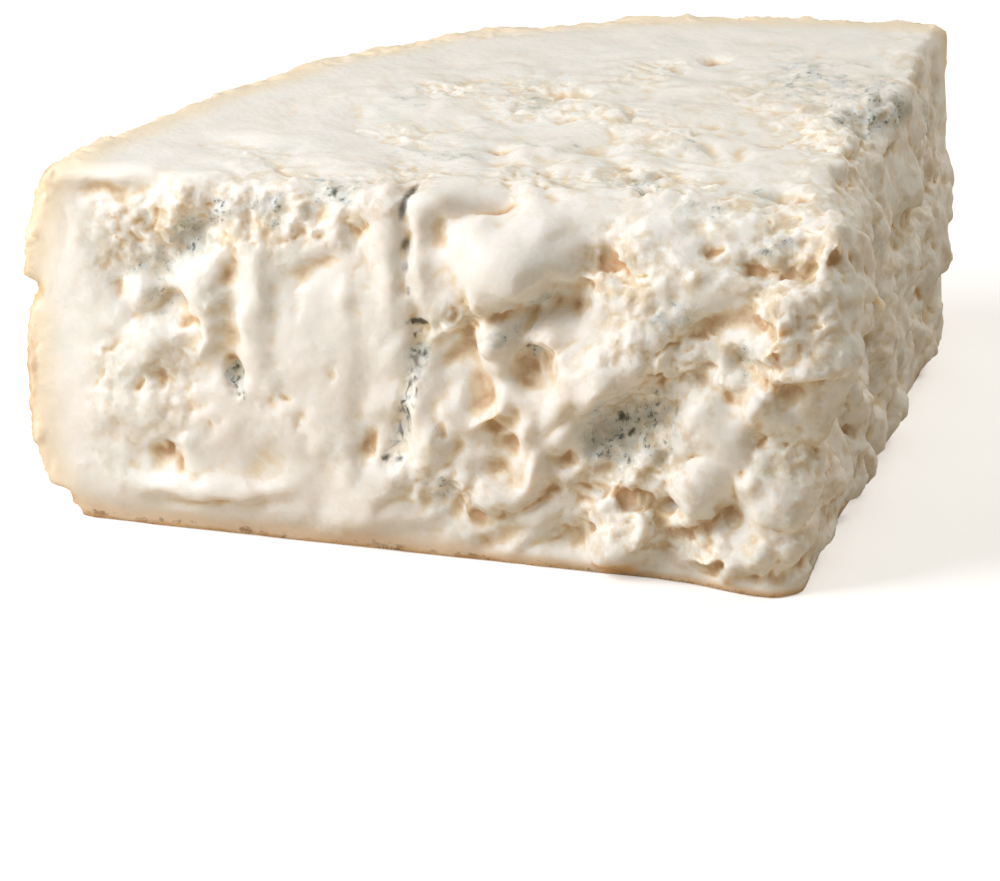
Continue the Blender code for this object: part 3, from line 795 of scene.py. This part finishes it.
def node(tree, kind, inputs, **settings):
    """Adds a node, sets its properties, and gives each input a value or another node's output."""
    made = tree.nodes.new(kind)
    for name, value in settings.items():
        setattr(made, name, value)
    for name, value in inputs.items():
        if isinstance(value, bpy.types.NodeSocket):
            tree.links.new(value, made.inputs[name])
        else:
            made.inputs[name].default_value = value
    return made


def attribute(tree, name):
    """A number that each vertex carries under a name."""
    return node(tree, "ShaderNodeAttribute", {}, attribute_name=name).outputs["Fac"]


def ramp(tree, value, low, high, to_low=0.0, to_high=1.0):
    """A smooth ramp from to_low, where the value is low, to to_high, where it is high."""
    inputs = {"Value": value, "From Min": low, "From Max": high, "To Min": to_low, "To Max": to_high}
    return node(tree, "ShaderNodeMapRange", inputs, interpolation_type="SMOOTHSTEP").outputs[0]


def maths(tree, operation, first, second):
    """One sum of two numbers or outputs."""
    return node(tree, "ShaderNodeMath", {0: first, 1: second}, operation=operation).outputs[0]


def mixed(tree, factor, first, second, blend="MIX"):
    """One colour over another by a factor."""
    made = node(tree, "ShaderNodeMix", {}, data_type="RGBA", blend_type=blend, clamp_factor=True)
    for index, value in ((0, factor), (6, first), (7, second)):
        if isinstance(value, bpy.types.NodeSocket):
            tree.links.new(value, made.inputs[index])
        else:
            made.inputs[index].default_value = value
    return made.outputs[2]


def grain(tree, position, size, detail=2.0, roughness=0.5):
    """Noise from 0 to 1 with swells of about the size, in metres."""
    inputs = {"Vector": position, "Scale": 1 / size, "Detail": detail, "Roughness": roughness}
    return node(tree, "ShaderNodeTexNoise", inputs).outputs["Fac"]


def paste_colour(tree, position):
    """Cream with tan mottles where it is crumbly, yellow towards the rind, and painted shade in the
    creases, hollows, near the tip and along the base.
    """
    broad = ramp(tree, grain(tree, position, 0.028), 0.35, 0.65)
    colour = mixed(tree, broad, CREAM, CREAM_PINK)
    mottle = ramp(tree, grain(tree, position, 0.007, 3.0), 0.40, 0.75, 0.0, 0.5)
    colour = mixed(tree, mottle, colour, CREAM_GREY)
    fine = grain(tree, position, 0.0022, 3.0, 0.6)
    # Painted shade: warm ochre to brown darkening in the creases and hollows, deeper where they are
    # deeper
    hollow = maths(tree, "ADD", attribute(tree, "hollow"), ramp(tree, fine, 0.2, 0.8, -0.12, 0.12))
    colour = mixed(tree, ramp(tree, hollow, 0.12, 0.55, 0.0, 0.80), colour, CREASE_SHADE_LIGHT)
    colour = mixed(tree, ramp(tree, hollow, 0.45, 1.05, 0.0, 0.75), colour, CREASE_SHADE_DEEP)
    crumbly = attribute(tree, "crumbly")
    # Tan mottles: partly the paste's own tone where it is crumbly, partly painted shade that grows
    # with how torn the paste is, most near the tip
    near_tip = maths(tree, "MULTIPLY", attribute(tree, "torn"), 0.6)
    tan_mottle_and_tip_shade = ramp(tree, grain(tree, position, 0.0042, 3.0, 0.6), 0.46, 0.66, 0.0, 0.60)
    tan_mottle_and_tip_shade = maths(tree, "MULTIPLY", tan_mottle_and_tip_shade, maths(tree, "ADD", crumbly, near_tip))
    colour = mixed(tree, tan_mottle_and_tip_shade, colour, CRUMB_TAN_AND_TIP_SHADE)
    bloomed = ramp(tree, grain(tree, position, 0.0058, 4.0, 0.65), 0.50, 0.66, 0.0, 0.55)
    colour = mixed(tree, maths(tree, "MULTIPLY", bloomed, crumbly), colour, CRUMB_GREY)
    wander = ramp(tree, grain(tree, position, 0.012), 0.2, 0.8, -0.15, 0.15)
    near = maths(tree, "ADD", attribute(tree, "near_rind"), wander)
    colour = mixed(tree, ramp(tree, near, 0.0, 1.0, 0.0, 0.80), colour, NEAR_RIND)
    # Painted shade: a tan band along the base, where the cut draws in above the base's rind
    low = maths(tree, "ADD", attribute(tree, "near_base"), wander)
    colour = mixed(tree, ramp(tree, low, 0.1, 1.0, 0.0, 0.85), colour, BASE_PAINTED_SHADE)
    ragged = maths(tree, "ADD", low, ramp(tree, fine, 0.2, 0.8, -0.14, 0.14))
    return mixed(tree, ramp(tree, ragged, 0.98, 1.14, 0.0, 0.85), colour, RIND_BROWN)


def mould_over(tree, position, colour):
    """Blue-grey mould with dark flecks over the paste."""
    mould = attribute(tree, "mould")
    breakup = ramp(tree, grain(tree, position, 0.0034, 4.0, 0.7), 0.28, 0.72, -0.6, 0.6)
    breakup = maths(tree, "MULTIPLY", breakup, ramp(tree, mould, 0.0, 0.35))
    bloom = ramp(tree, maths(tree, "ADD", mould, breakup), 0.10, 1.0, 0.0, 0.75)
    tint = mixed(tree, ramp(tree, grain(tree, position, 0.006), 0.4, 0.6), MOULD_GREY, MOULD_GREEN)
    colour = mixed(tree, bloom, colour, tint)
    flecks = ramp(tree, grain(tree, position, 0.0015, 4.0, 0.75), 0.53, 0.63)
    dark = maths(tree, "MULTIPLY", flecks, ramp(tree, maths(tree, "ADD", mould, breakup), 0.35, 1.1))
    colour = mixed(tree, maths(tree, "MULTIPLY", dark, 0.9), colour, MOULD_FLECK)
    return mixed(tree, ramp(tree, attribute(tree, "dash"), 0.2, 0.9, 0.0, 0.9), colour, MOULD_DARK)


def rind_over(tree, position, colour):
    """Peach and tan skin with pale bloom and brown specks over the paste."""
    rind = attribute(tree, "rind")
    patches = ramp(tree, grain(tree, position, 0.011, 4.0), 0.35, 0.65)
    skin = mixed(tree, patches, RIND_PEACH, RIND_ORANGE)
    bloom = ramp(tree, grain(tree, position, 0.004, 4.0, 0.6), 0.50, 0.72, 0.0, 0.8)
    skin = mixed(tree, bloom, skin, RIND_BLOOM)
    specks = ramp(tree, grain(tree, position, 0.0016, 3.0, 0.7), 0.60, 0.70, 0.0, 0.75)
    skin = mixed(tree, specks, skin, RIND_BROWN)
    return mixed(tree, rind, colour, skin)


def cheese_material():
    """Moist paste with mould and rind, coloured by what each vertex carries."""
    material = bpy.data.materials.new("blue_cheese_paste")
    material.use_nodes = True
    tree = material.node_tree
    shader = tree.nodes["Principled BSDF"]
    position = node(tree, "ShaderNodeTexCoord", {}).outputs["Object"]
    colour = rind_over(tree, position, mould_over(tree, position, paste_colour(tree, position)))
    tree.links.new(colour, shader.inputs["Base Color"])
    rough = ramp(tree, attribute(tree, "torn"), 0.0, 1.0, 0.40, 0.52)
    rough = maths(tree, "ADD", rough, ramp(tree, attribute(tree, "rind"), 0.0, 1.0, 0.0, 0.25))
    rough = maths(tree, "ADD", rough, ramp(tree, grain(tree, position, 0.003), 0.2, 0.8, -0.08, 0.08))
    tree.links.new(rough, shader.inputs["Roughness"])
    shader.subsurface_method = "BURLEY"
    shader.inputs["Subsurface Weight"].default_value = 1.0
    shader.inputs["Subsurface Radius"].default_value = LIGHT_REACH_BY_COLOUR
    shader.inputs["Subsurface Scale"].default_value = LIGHT_REACH
    shader.inputs["Specular IOR Level"].default_value = MOIST_SHINE
    uneven = grain(tree, position, 0.0016, 4.0, 0.6)
    fine = grain(tree, position, 0.0005, 3.0, 0.6)
    crumbs = grain(tree, position, 0.0030, 1.5, 0.5)
    crumbly = ramp(tree, attribute(tree, "crumbly"), 0.1, 0.9, 0.15, 0.8)
    inputs = {"Height": crumbs, "Strength": crumbly, "Distance": 0.0012}
    rough_bump = node(tree, "ShaderNodeBump", inputs)
    inputs = {"Height": uneven, "Strength": 0.5, "Distance": 0.0004, "Normal": rough_bump.outputs[0]}
    soft = node(tree, "ShaderNodeBump", inputs)
    strength = ramp(tree, attribute(tree, "torn"), 0.0, 1.0, 0.15, 0.5)
    inputs = {"Height": fine, "Strength": strength, "Distance": 0.0002, "Normal": soft.outputs[0]}
    bump = node(tree, "ShaderNodeBump", inputs)
    tree.links.new(bump.outputs[0], shader.inputs["Normal"])
    return material


# The stage, the lights and the camera


def camera_axes():
    """The camera's right, up and backward directions and its place, in the solid's frame."""
    back = Vector((math.sin(CAMERA_TURN) * math.cos(CAMERA_RISE),
                   -math.cos(CAMERA_TURN) * math.cos(CAMERA_RISE),
                   math.sin(CAMERA_RISE)))
    level = Vector((math.cos(CAMERA_TURN), math.sin(CAMERA_TURN), 0))
    steep = back.cross(level)
    right = math.cos(CAMERA_ROLL) * level + math.sin(CAMERA_ROLL) * steep
    up = math.cos(CAMERA_ROLL) * steep - math.sin(CAMERA_ROLL) * level
    place = back * CAMERA_DISTANCE + level * CAMERA_AIM[0] + steep * CAMERA_AIM[1]
    matrix = Matrix((right, up, back)).transposed().to_4x4()
    matrix.translation = place
    return Matrix.Translation(TIP) @ Matrix.Rotation(LEFT_DIRECTION - math.pi, 4, "Z") @ matrix


def add_camera():
    """The camera at the photograph's viewing angle."""
    camera = bpy.data.objects.new("camera", bpy.data.cameras.new("camera"))
    bpy.context.scene.collection.objects.link(camera)
    camera.matrix_world = camera_axes()
    camera.data.sensor_width = SENSOR_WIDTH
    camera.data.lens = LENS
    camera.data.clip_start = NEAREST_SEEN
    bpy.context.scene.camera = camera
    return camera


def add_area_light(name, camera, direction, distance, size, power, colour):
    """A square light at a direction from the wedge that is given along the camera's axes."""
    light = bpy.data.lights.new(name, "AREA")
    light.shape = "SQUARE"
    light.size = size
    light.energy = power
    light.color = colour
    obj = bpy.data.objects.new(name, light)
    bpy.context.scene.collection.objects.link(obj)
    away = (camera.matrix_world.to_3x3() @ Vector(direction)).normalized()
    middle = Vector((0, 0, WEDGE_HEIGHT / 2))
    obj.location = middle + away * distance
    obj.rotation_mode = "QUATERNION"
    obj.rotation_quaternion = away.to_track_quat("Z", "Y")
    return obj


def add_floor():
    """A wide pale floor, which throws a warmer light up than it shows to the camera."""
    mesh = bmesh.new()
    bmesh.ops.create_grid(mesh, x_segments=2, y_segments=2, size=FLOOR_HALF_SIZE)
    data = bpy.data.meshes.new("floor")
    mesh.to_mesh(data)
    mesh.free()
    floor = bpy.data.objects.new("floor", data)
    floor.location.z = -FLOOR_DROP
    bpy.context.scene.collection.objects.link(floor)
    material = bpy.data.materials.new("pale_floor")
    material.use_nodes = True
    tree = material.node_tree
    shader = tree.nodes["Principled BSDF"]
    position = node(tree, "ShaderNodeTexCoord", {}).outputs["Object"]
    cloud = ramp(tree, grain(tree, position, 0.08, 3.0), 0.3, 0.7)
    seen = node(tree, "ShaderNodeLightPath", {}).outputs["Is Camera Ray"]
    pale = mixed(tree, cloud, FLOOR_PALE, FLOOR_WHITE)
    tree.links.new(mixed(tree, seen, FLOOR_BOUNCE, pale), shader.inputs["Base Color"])
    shader.inputs["Roughness"].default_value = 0.8
    shader.inputs["Emission Color"].default_value = FLOOR_WHITE
    tree.links.new(maths(tree, "MULTIPLY", seen, FLOOR_GLOW), shader.inputs["Emission Strength"])
    data.materials.append(material)
    return floor


def add_world():
    """Dim, slightly warm light from all around."""
    world = bpy.data.worlds.new("studio")
    bpy.context.scene.world = world
    world.use_nodes = True
    background = world.node_tree.nodes["Background"]
    background.inputs["Color"].default_value = WORLD_COLOUR
    background.inputs["Strength"].default_value = WORLD_STRENGTH


# Finer relief of the torn paste and the rind: heights in millimetres, sizes in metres. A pock is
# only where the noise is above this amount
DETAIL_DEPTH = 0.42
FOLD = 1.2
FOLD_SIZE = 0.0068
CREST = 1.2
CREST_SIZE = 0.0050
CRUMB = 1.7
CRUMB_SIZE = 0.0036
GRAIN = 0.7
GRAIN_SIZE = 0.0019
FINE_CREASE = 0.05
SOFT_SWELL = 1.4
STROKE = 0.20
RIND_WRINKLE = 0.9
RIND_WRINKLE_SIZE = 0.0075
RIND_CRUST = 0.8
RIND_CRUST_SIZE = 0.0024
RIND_POCK = 1.0
RIND_POCK_SIZE = 0.0023
RIND_POCK_SPARSE = 0.35

# How hollow a place is, which sets the shade painted into its creases and cavities: how many times
# the form is smoothed to find them, the depths in millimetres that count as full, and the weight of
# each
BLUR_KEEPS = 0.4
NEAR_BLUR = 10
FAR_BLUR = 70
NEAR_HOLLOW = 0.32
FAR_HOLLOW = 1.2
NEAR_WEIGHT = 0.55
FAR_WEIGHT = 0.65
HOLLOW_LIMIT = 1.2

# Mould along the needle channel, and the slanting marks in its lower part, in millimetres: their
# spacing, slant and wander, and the heights between which they start below and end above
MOULD_LIMIT = 1.3
NEEDLE_MOULD_HALF_WIDTH = 2.4
CHEVRON_HALF_WIDTH = 1.9
CHEVRON_STEP = 4.6
CHEVRON_SLANT = 1.6
CHEVRON_WANDER = 2.4
CHEVRONS_START = (20.5, 21.5)
CHEVRONS_END = (47.0, 45.5)

# Where the left cut and the top are crumbly, with an amount in place of the rise
LEFT_CRUMBLY = (
    (20, 30, 13, 15, 0, 0.55),
    (20, 60, 14, 6, 10, 1.0),
    (40, 66, 26, 7, 6, 1.3),
    (50, 30, 9, 12, 0, 0.35),
    (84, 50, 9, 3, 15, 0.9),
    (112, 62, 10, 7, 0, 0.6),
    (128, 48, 16, 14, 0, 0.6),
    (97, 44, 5, 6, 0, 0.7),
    (118, 28, 10, 9, 20, 0.9),
    (78, 15, 8, 6, 0, 0.9),
    (100, 15, 12, 8, 0, 0.4),
    (140, 64, 10, 6, 0, 0.65),
    (128, 12, 18, 9, 0, 0.45),
)
TOP_CRUMBLY = (
    (72, 68, 9, 14, 0, 1.3),
    (57, 60, 10, 9, 0, 1.1),
    (58, 94, 9, 10, 0, 1.0),
    (92, 68, 8, 8, 0, 0.9),
    (26, 85, 14, 22, 0, 0.9),
    (10, 66, 10, 20, 0, 1.0),
    (38, 24, 14, 10, 0, 1.0),
    (20, 14, 16, 8, 0, 1.1),
    (60, 16, 9, 8, 0, 0.8),
    (78, 14, 8, 8, 0, 0.7),
    (92, 40, 9, 8, 0, 0.6),
    (44, 50, 8, 12, 0, 0.8),
    (118, 16, 14, 6, 0, 0.5),
)

# Small features of the left cut and of the top, in the same terms as the large ones
LEFT_DETAILS = (
    (2, 60, 1.0, 7, 4, -0.5),
    (12.5, 49.5, 1.2, 3, 28, -2.0),
    (16.5, 59, 1.4, 2.2, 30, -1.6),
    (28, 51, 3, 5, 0, 1.6),
    (37, 57.5, 1.2, 2, 0, -1.4),
    (27.5, 44, 1.8, 1.0, 10, -1.5),
    (45, 68.5, 2.4, 3.4, 10, -1.6),
    (45, 68.5, 1.0, 1.4, 0, 1.2),
    (54.5, 65, 1.8, 2.2, 0, -1.7),
    (62, 66, 2.2, 2, 0, -1.7),
    (58, 66, 1.2, 3.4, -20, 1.2),
    (50.3, 50, 1.2, 5, -4, -0.9),
    (54.5, 57.5, 4.5, 1.2, 35, -0.9),
    (59.5, 51, 1.4, 4.5, -14, 1.2),
    (62.5, 50, 1.4, 4.5, -14, -0.7),
    (63.5, 41, 1.8, 8, 2, -0.7),
    (63.5, 21, 1.6, 8, -20, -1.3),
    (37, 30, 1.4, 1.3, 0, -1.6),
    (12.5, 38, 2.8, 0.9, 40, -1.3),
    (9, 30.5, 0.9, 2.6, -20, -1.2),
    (17.5, 31, 0.8, 2.2, -10, -1.3),
    (21.5, 32, 0.8, 2.2, -10, -1.3),
    (28, 29, 1.1, 4.2, -5, -1.6),
    (32.5, 23, 0.9, 1.3, 0, -1.2),
    (50.5, 26, 0.8, 2.3, -10, -1.1),
    (47.5, 30.5, 0.9, 0.8, 0, -1.0),
    (57, 36, 1.1, 2.2, 0, -1.1),
    (22.5, 17.5, 1.2, 2, 0, -1.6),
    (25, 14, 1.0, 1.6, 20, -1.2),
    (28, 6.3, 8, 1.3, 8, -1.3),
    (77.5, 63.5, 1.8, 4, -10, -2.0),
    (81, 48.5, 2.4, 1.2, 15, 1.6),
    (87, 52.5, 1.6, 1.4, 0, 1.5),
    (84.5, 51, 1.3, 1.1, 0, 1.2),
    (78.5, 29, 1.2, 2.4, 0, -1.6),
    (90, 29, 1.4, 4, 0, -1.8),
    (85, 27, 3, 2.6, 0, 1.6),
    (103, 44, 5, 0.9, 38, 0.9),
    (108, 43, 6, 0.9, 38, 0.9),
    (112, 48, 6, 0.9, 36, 0.9),
    (120, 50, 2, 1.6, 0, -1.6),
    (129.5, 54, 1.8, 1.8, 0, -1.8),
    (133, 64, 3, 2, 0, -1.5),
    (144, 53.5, 1.4, 2.6, 0, -2.0),
    (136.5, 38.5, 1.8, 1.4, 0, -1.5),
    (134, 29, 4.5, 5, 0, 1.4),
    (139, 23.5, 1.3, 1.6, 0, -1.6),
    (144, 15, 4, 6.5, 10, 1.2),
    (141.5, 11.5, 1.6, 1.2, 0, -1.6),
    (109, 16, 1.4, 2.2, 0, -1.6),
    (77, 15, 1.3, 1.1, 0, 1.1),
    (80, 13, 1.2, 1.0, 0, 1.1),
    (79, 17, 1.0, 1.0, 0, 0.9),
    (82, 15.5, 1.3, 1.0, 0, -1.0),
    (75.5, 12.5, 1.2, 1.0, 0, -1.0),
)
TOP_DETAILS = (
    (14, 22, 1.6, 2.0, 0, -1.5),
    (35, 17, 1.4, 1.6, 0, -1.2),
    (47, 107, 1.4, 2.2, 0, -1.2),
    (71, 34, 1.6, 2.0, 0, -1.2),
)

# Places of the mould, as in the features of the cuts, with an amount in place of the rise
LEFT_MOULD = (
    (36.5, 33.8, 2.0, 2.6, 0, 1.4),
    (37.5, 30.2, 2.2, 1.8, 0, 0.9),
    (34, 66, 5, 2.0, 25, 0.7),
    (44, 68, 4, 3, 0, 0.45),
    (57, 71.5, 5, 2.0, 5, 0.8),
    (20, 55, 10, 5, 34, 0.45),
    (22, 46, 6, 4, 0, 0.30),
    (28, 60, 5, 3.4, 45, 0.5),
    (37, 52, 2.4, 7, -6, 0.25),
    (47, 67, 9, 3.5, 6, 0.35),
    (116, 28.5, 9, 7.5, 25, 0.85),
    (113, 30.5, 2.6, 2.0, 40, 0.4),
    (110, 24.5, 2.6, 1.8, 40, 0.4),
    (115, 24.5, 2.2, 1.8, 40, 0.4),
    (123, 35, 4, 4, 0, 0.3),
    (96.5, 44, 2.2, 2.4, 0, 1.1),
    (92, 47.5, 6, 1.8, 10, 0.5),
    (79, 15, 5, 3, 0, 0.6),
    (138, 48, 3, 4.5, 0, 0.6),
    (125, 54, 6, 4, 20, 0.35),
    (99, 54, 5, 2, 28, 0.4),
    (142, 67, 3, 2.6, 0, 0.6),
    (125, 15, 1.6, 1.4, 0, 0.6),
    (109, 16, 1.4, 1.8, 0, 0.5),
)
# The darkest marks of the mould on the left cut
LEFT_DASHES = (
    (71, 70.5, 1.0, 3.6, -4, 0.85),
    (71.7, 63, 1.1, 2.0, -4, 0.75),
    (72, 59, 0.8, 1.4, 0, 0.65),
    (72.8, 54.5, 0.8, 1.4, -8, 0.7),
    (74, 51.5, 0.7, 1.2, 0, 0.6),
    (74.3, 48, 2.2, 0.8, 2, 1.3),
    (67.4, 19.8, 1.0, 0.7, 5, 1.2),
    (70, 20, 1.0, 0.7, -12, 1.2),
    (36.2, 34.6, 0.9, 0.8, 0, 1.0),
    (36.8, 32.4, 0.6, 0.6, 0, 0.9),
    (37.8, 30, 0.6, 0.6, 0, 0.8),
    (56.6, 71.2, 0.8, 0.6, 0, 1.0),
    (59, 70.6, 1.2, 0.4, 20, 0.8),
    (54, 70, 1.4, 0.4, -30, 0.6),
    (33.5, 66.5, 0.9, 0.5, 0, 0.8),
    (35, 64.6, 0.6, 0.4, 0, 0.7),
    (95.5, 44.5, 0.6, 0.6, 0, 0.9),
    (97, 43.4, 0.7, 0.5, 0, 0.8),
    (113, 31, 0.9, 1.4, 30, 0.9),
    (115.5, 28.5, 1.3, 0.6, 40, 0.9),
    (110, 24.6, 0.8, 0.7, 0, 0.9),
    (114.5, 24.2, 0.7, 0.6, 0, 0.8),
    (125, 34.6, 0.6, 0.9, 0, 0.7),
    (119, 33, 1.2, 0.4, 60, 0.6),
)
RIGHT_MOULD = (
    (82, 70, 9, 4, 0, 0.55),
    (94, 68, 5, 4, 0, 0.45),
    (30, 50, 10, 5, -14, 0.35),
    (64, 52, 9, 4, -16, 0.45),
    (38, 34, 9, 4, -20, 0.3),
    (62, 29, 8, 4, -20, 0.35),
    (106, 44, 7, 3, 0, 0.4),
    (120, 60, 8, 5, 30, 0.35),
    (88, 18, 8, 5, -10, 0.3),
)
TOP_MOULD = (
    (72, 64, 7, 9, 0, 0.45),
    (82, 27, 12, 3, 0, 0.45),
    (60, 40, 8, 5, 20, 0.35),
    (38, 22, 8, 5, 20, 0.45),
    (14, 94, 14, 24, 0, 0.42),
    (28, 98, 8, 12, 0, 0.35),
    (34, 48, 8, 4, 30, 0.35),
    (14, 22, 3.0, 3.0, 0, 1.0),
    (35, 17, 2.4, 2.0, 0, 0.9),
    (96, 60, 6, 6, 0, 0.3),
    (20, 10, 9, 4, 10, 0.35),
    (108, 22, 12, 3, 0, 0.3),
)

# Colours, as they look on a screen
CREAM = linear(244, 241, 233)
CREAM_PINK = linear(244, 238, 229)
CREAM_GREY = linear(231, 232, 223)
# Painted shade in the creases and hollows, where shallow and where deep
CREASE_SHADE_LIGHT = linear(228, 207, 170)
CREASE_SHADE_DEEP = linear(178, 130, 80)
# Tan of the crumbly paste, also used for the painted shade on torn paste near the tip
CRUMB_TAN_AND_TIP_SHADE = linear(214, 195, 160)
CRUMB_GREY = linear(208, 211, 202)
NEAR_RIND = linear(241, 223, 190)
# Painted shade along the base, under the paste's overhang
BASE_PAINTED_SHADE = linear(228, 203, 172)
MOULD_GREY = linear(204, 210, 209)
MOULD_GREEN = linear(194, 196, 182)
MOULD_FLECK = linear(96, 106, 104)
MOULD_DARK = linear(58, 58, 48)
RIND_PEACH = linear(238, 204, 156)
RIND_ORANGE = linear(217, 173, 120)
RIND_BLOOM = linear(222, 204, 176)
RIND_BROWN = linear(120, 84, 56)
FLOOR_PALE = linear(236, 235, 233)
FLOOR_WHITE = linear(241, 240, 238)
FLOOR_BOUNCE = linear(209, 196, 175)
FLOOR_GLOW = 0.45
FLOOR_HALF_SIZE = 3.0
FLOOR_DROP = 0.0002
WORLD_COLOUR = linear(255, 249, 236)
WORLD_STRENGTH = 0.25

# The paste: how far light wanders under its surface, in metres and as shares for red, green and
# blue, and how strongly its moist surface reflects
LIGHT_REACH = 0.0024
LIGHT_REACH_BY_COLOUR = (1.0, 0.62, 0.36)
MOIST_SHINE = 0.35

# The camera, fitted to the photograph's view of the wedge: its turn from squarely facing the left
# cut and its rise, in radians, then its roll, its distance from the tip and its sideways shift
CAMERA_TURN = 0.307
CAMERA_RISE = 0.348
CAMERA_ROLL = -0.006
CAMERA_DISTANCE = 0.999
CAMERA_AIM = (-0.057, 0.030)
SENSOR_WIDTH = 36.0
LENS = 189.6
NEAREST_SEEN = 0.05

# The lights: name, direction along the camera's axes, distance, size, power and colour
LIGHTS = (
    ("key", (-0.81, 0.43, 0.46), 0.78, 0.44, 5.85, (0.985, 0.99, 1.04)),
    ("overhead", (0.55, 0.80, 0.10), 1.0, 0.24, 2.6, (1.0, 0.98, 0.94)),
    ("back", (0.38, 0.72, -0.55), 1.0, 0.30, 1.3, (1.0, 0.98, 0.94)),
)

wedge = bpy.data.objects.new("cheese_wedge_surface", cheese_mesh())
bpy.context.scene.collection.objects.link(wedge)
wedge.data.materials.clear()
wedge.data.materials.append(cheese_material())
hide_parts("cheese_wedge")
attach(wedge, "root")

add_floor()
camera = add_camera()
add_world()
for name, direction, distance, size, power, colour in LIGHTS:
    add_area_light(name, camera, direction, distance, size, power, colour)
bpy.context.scene.view_settings.view_transform = "Standard"
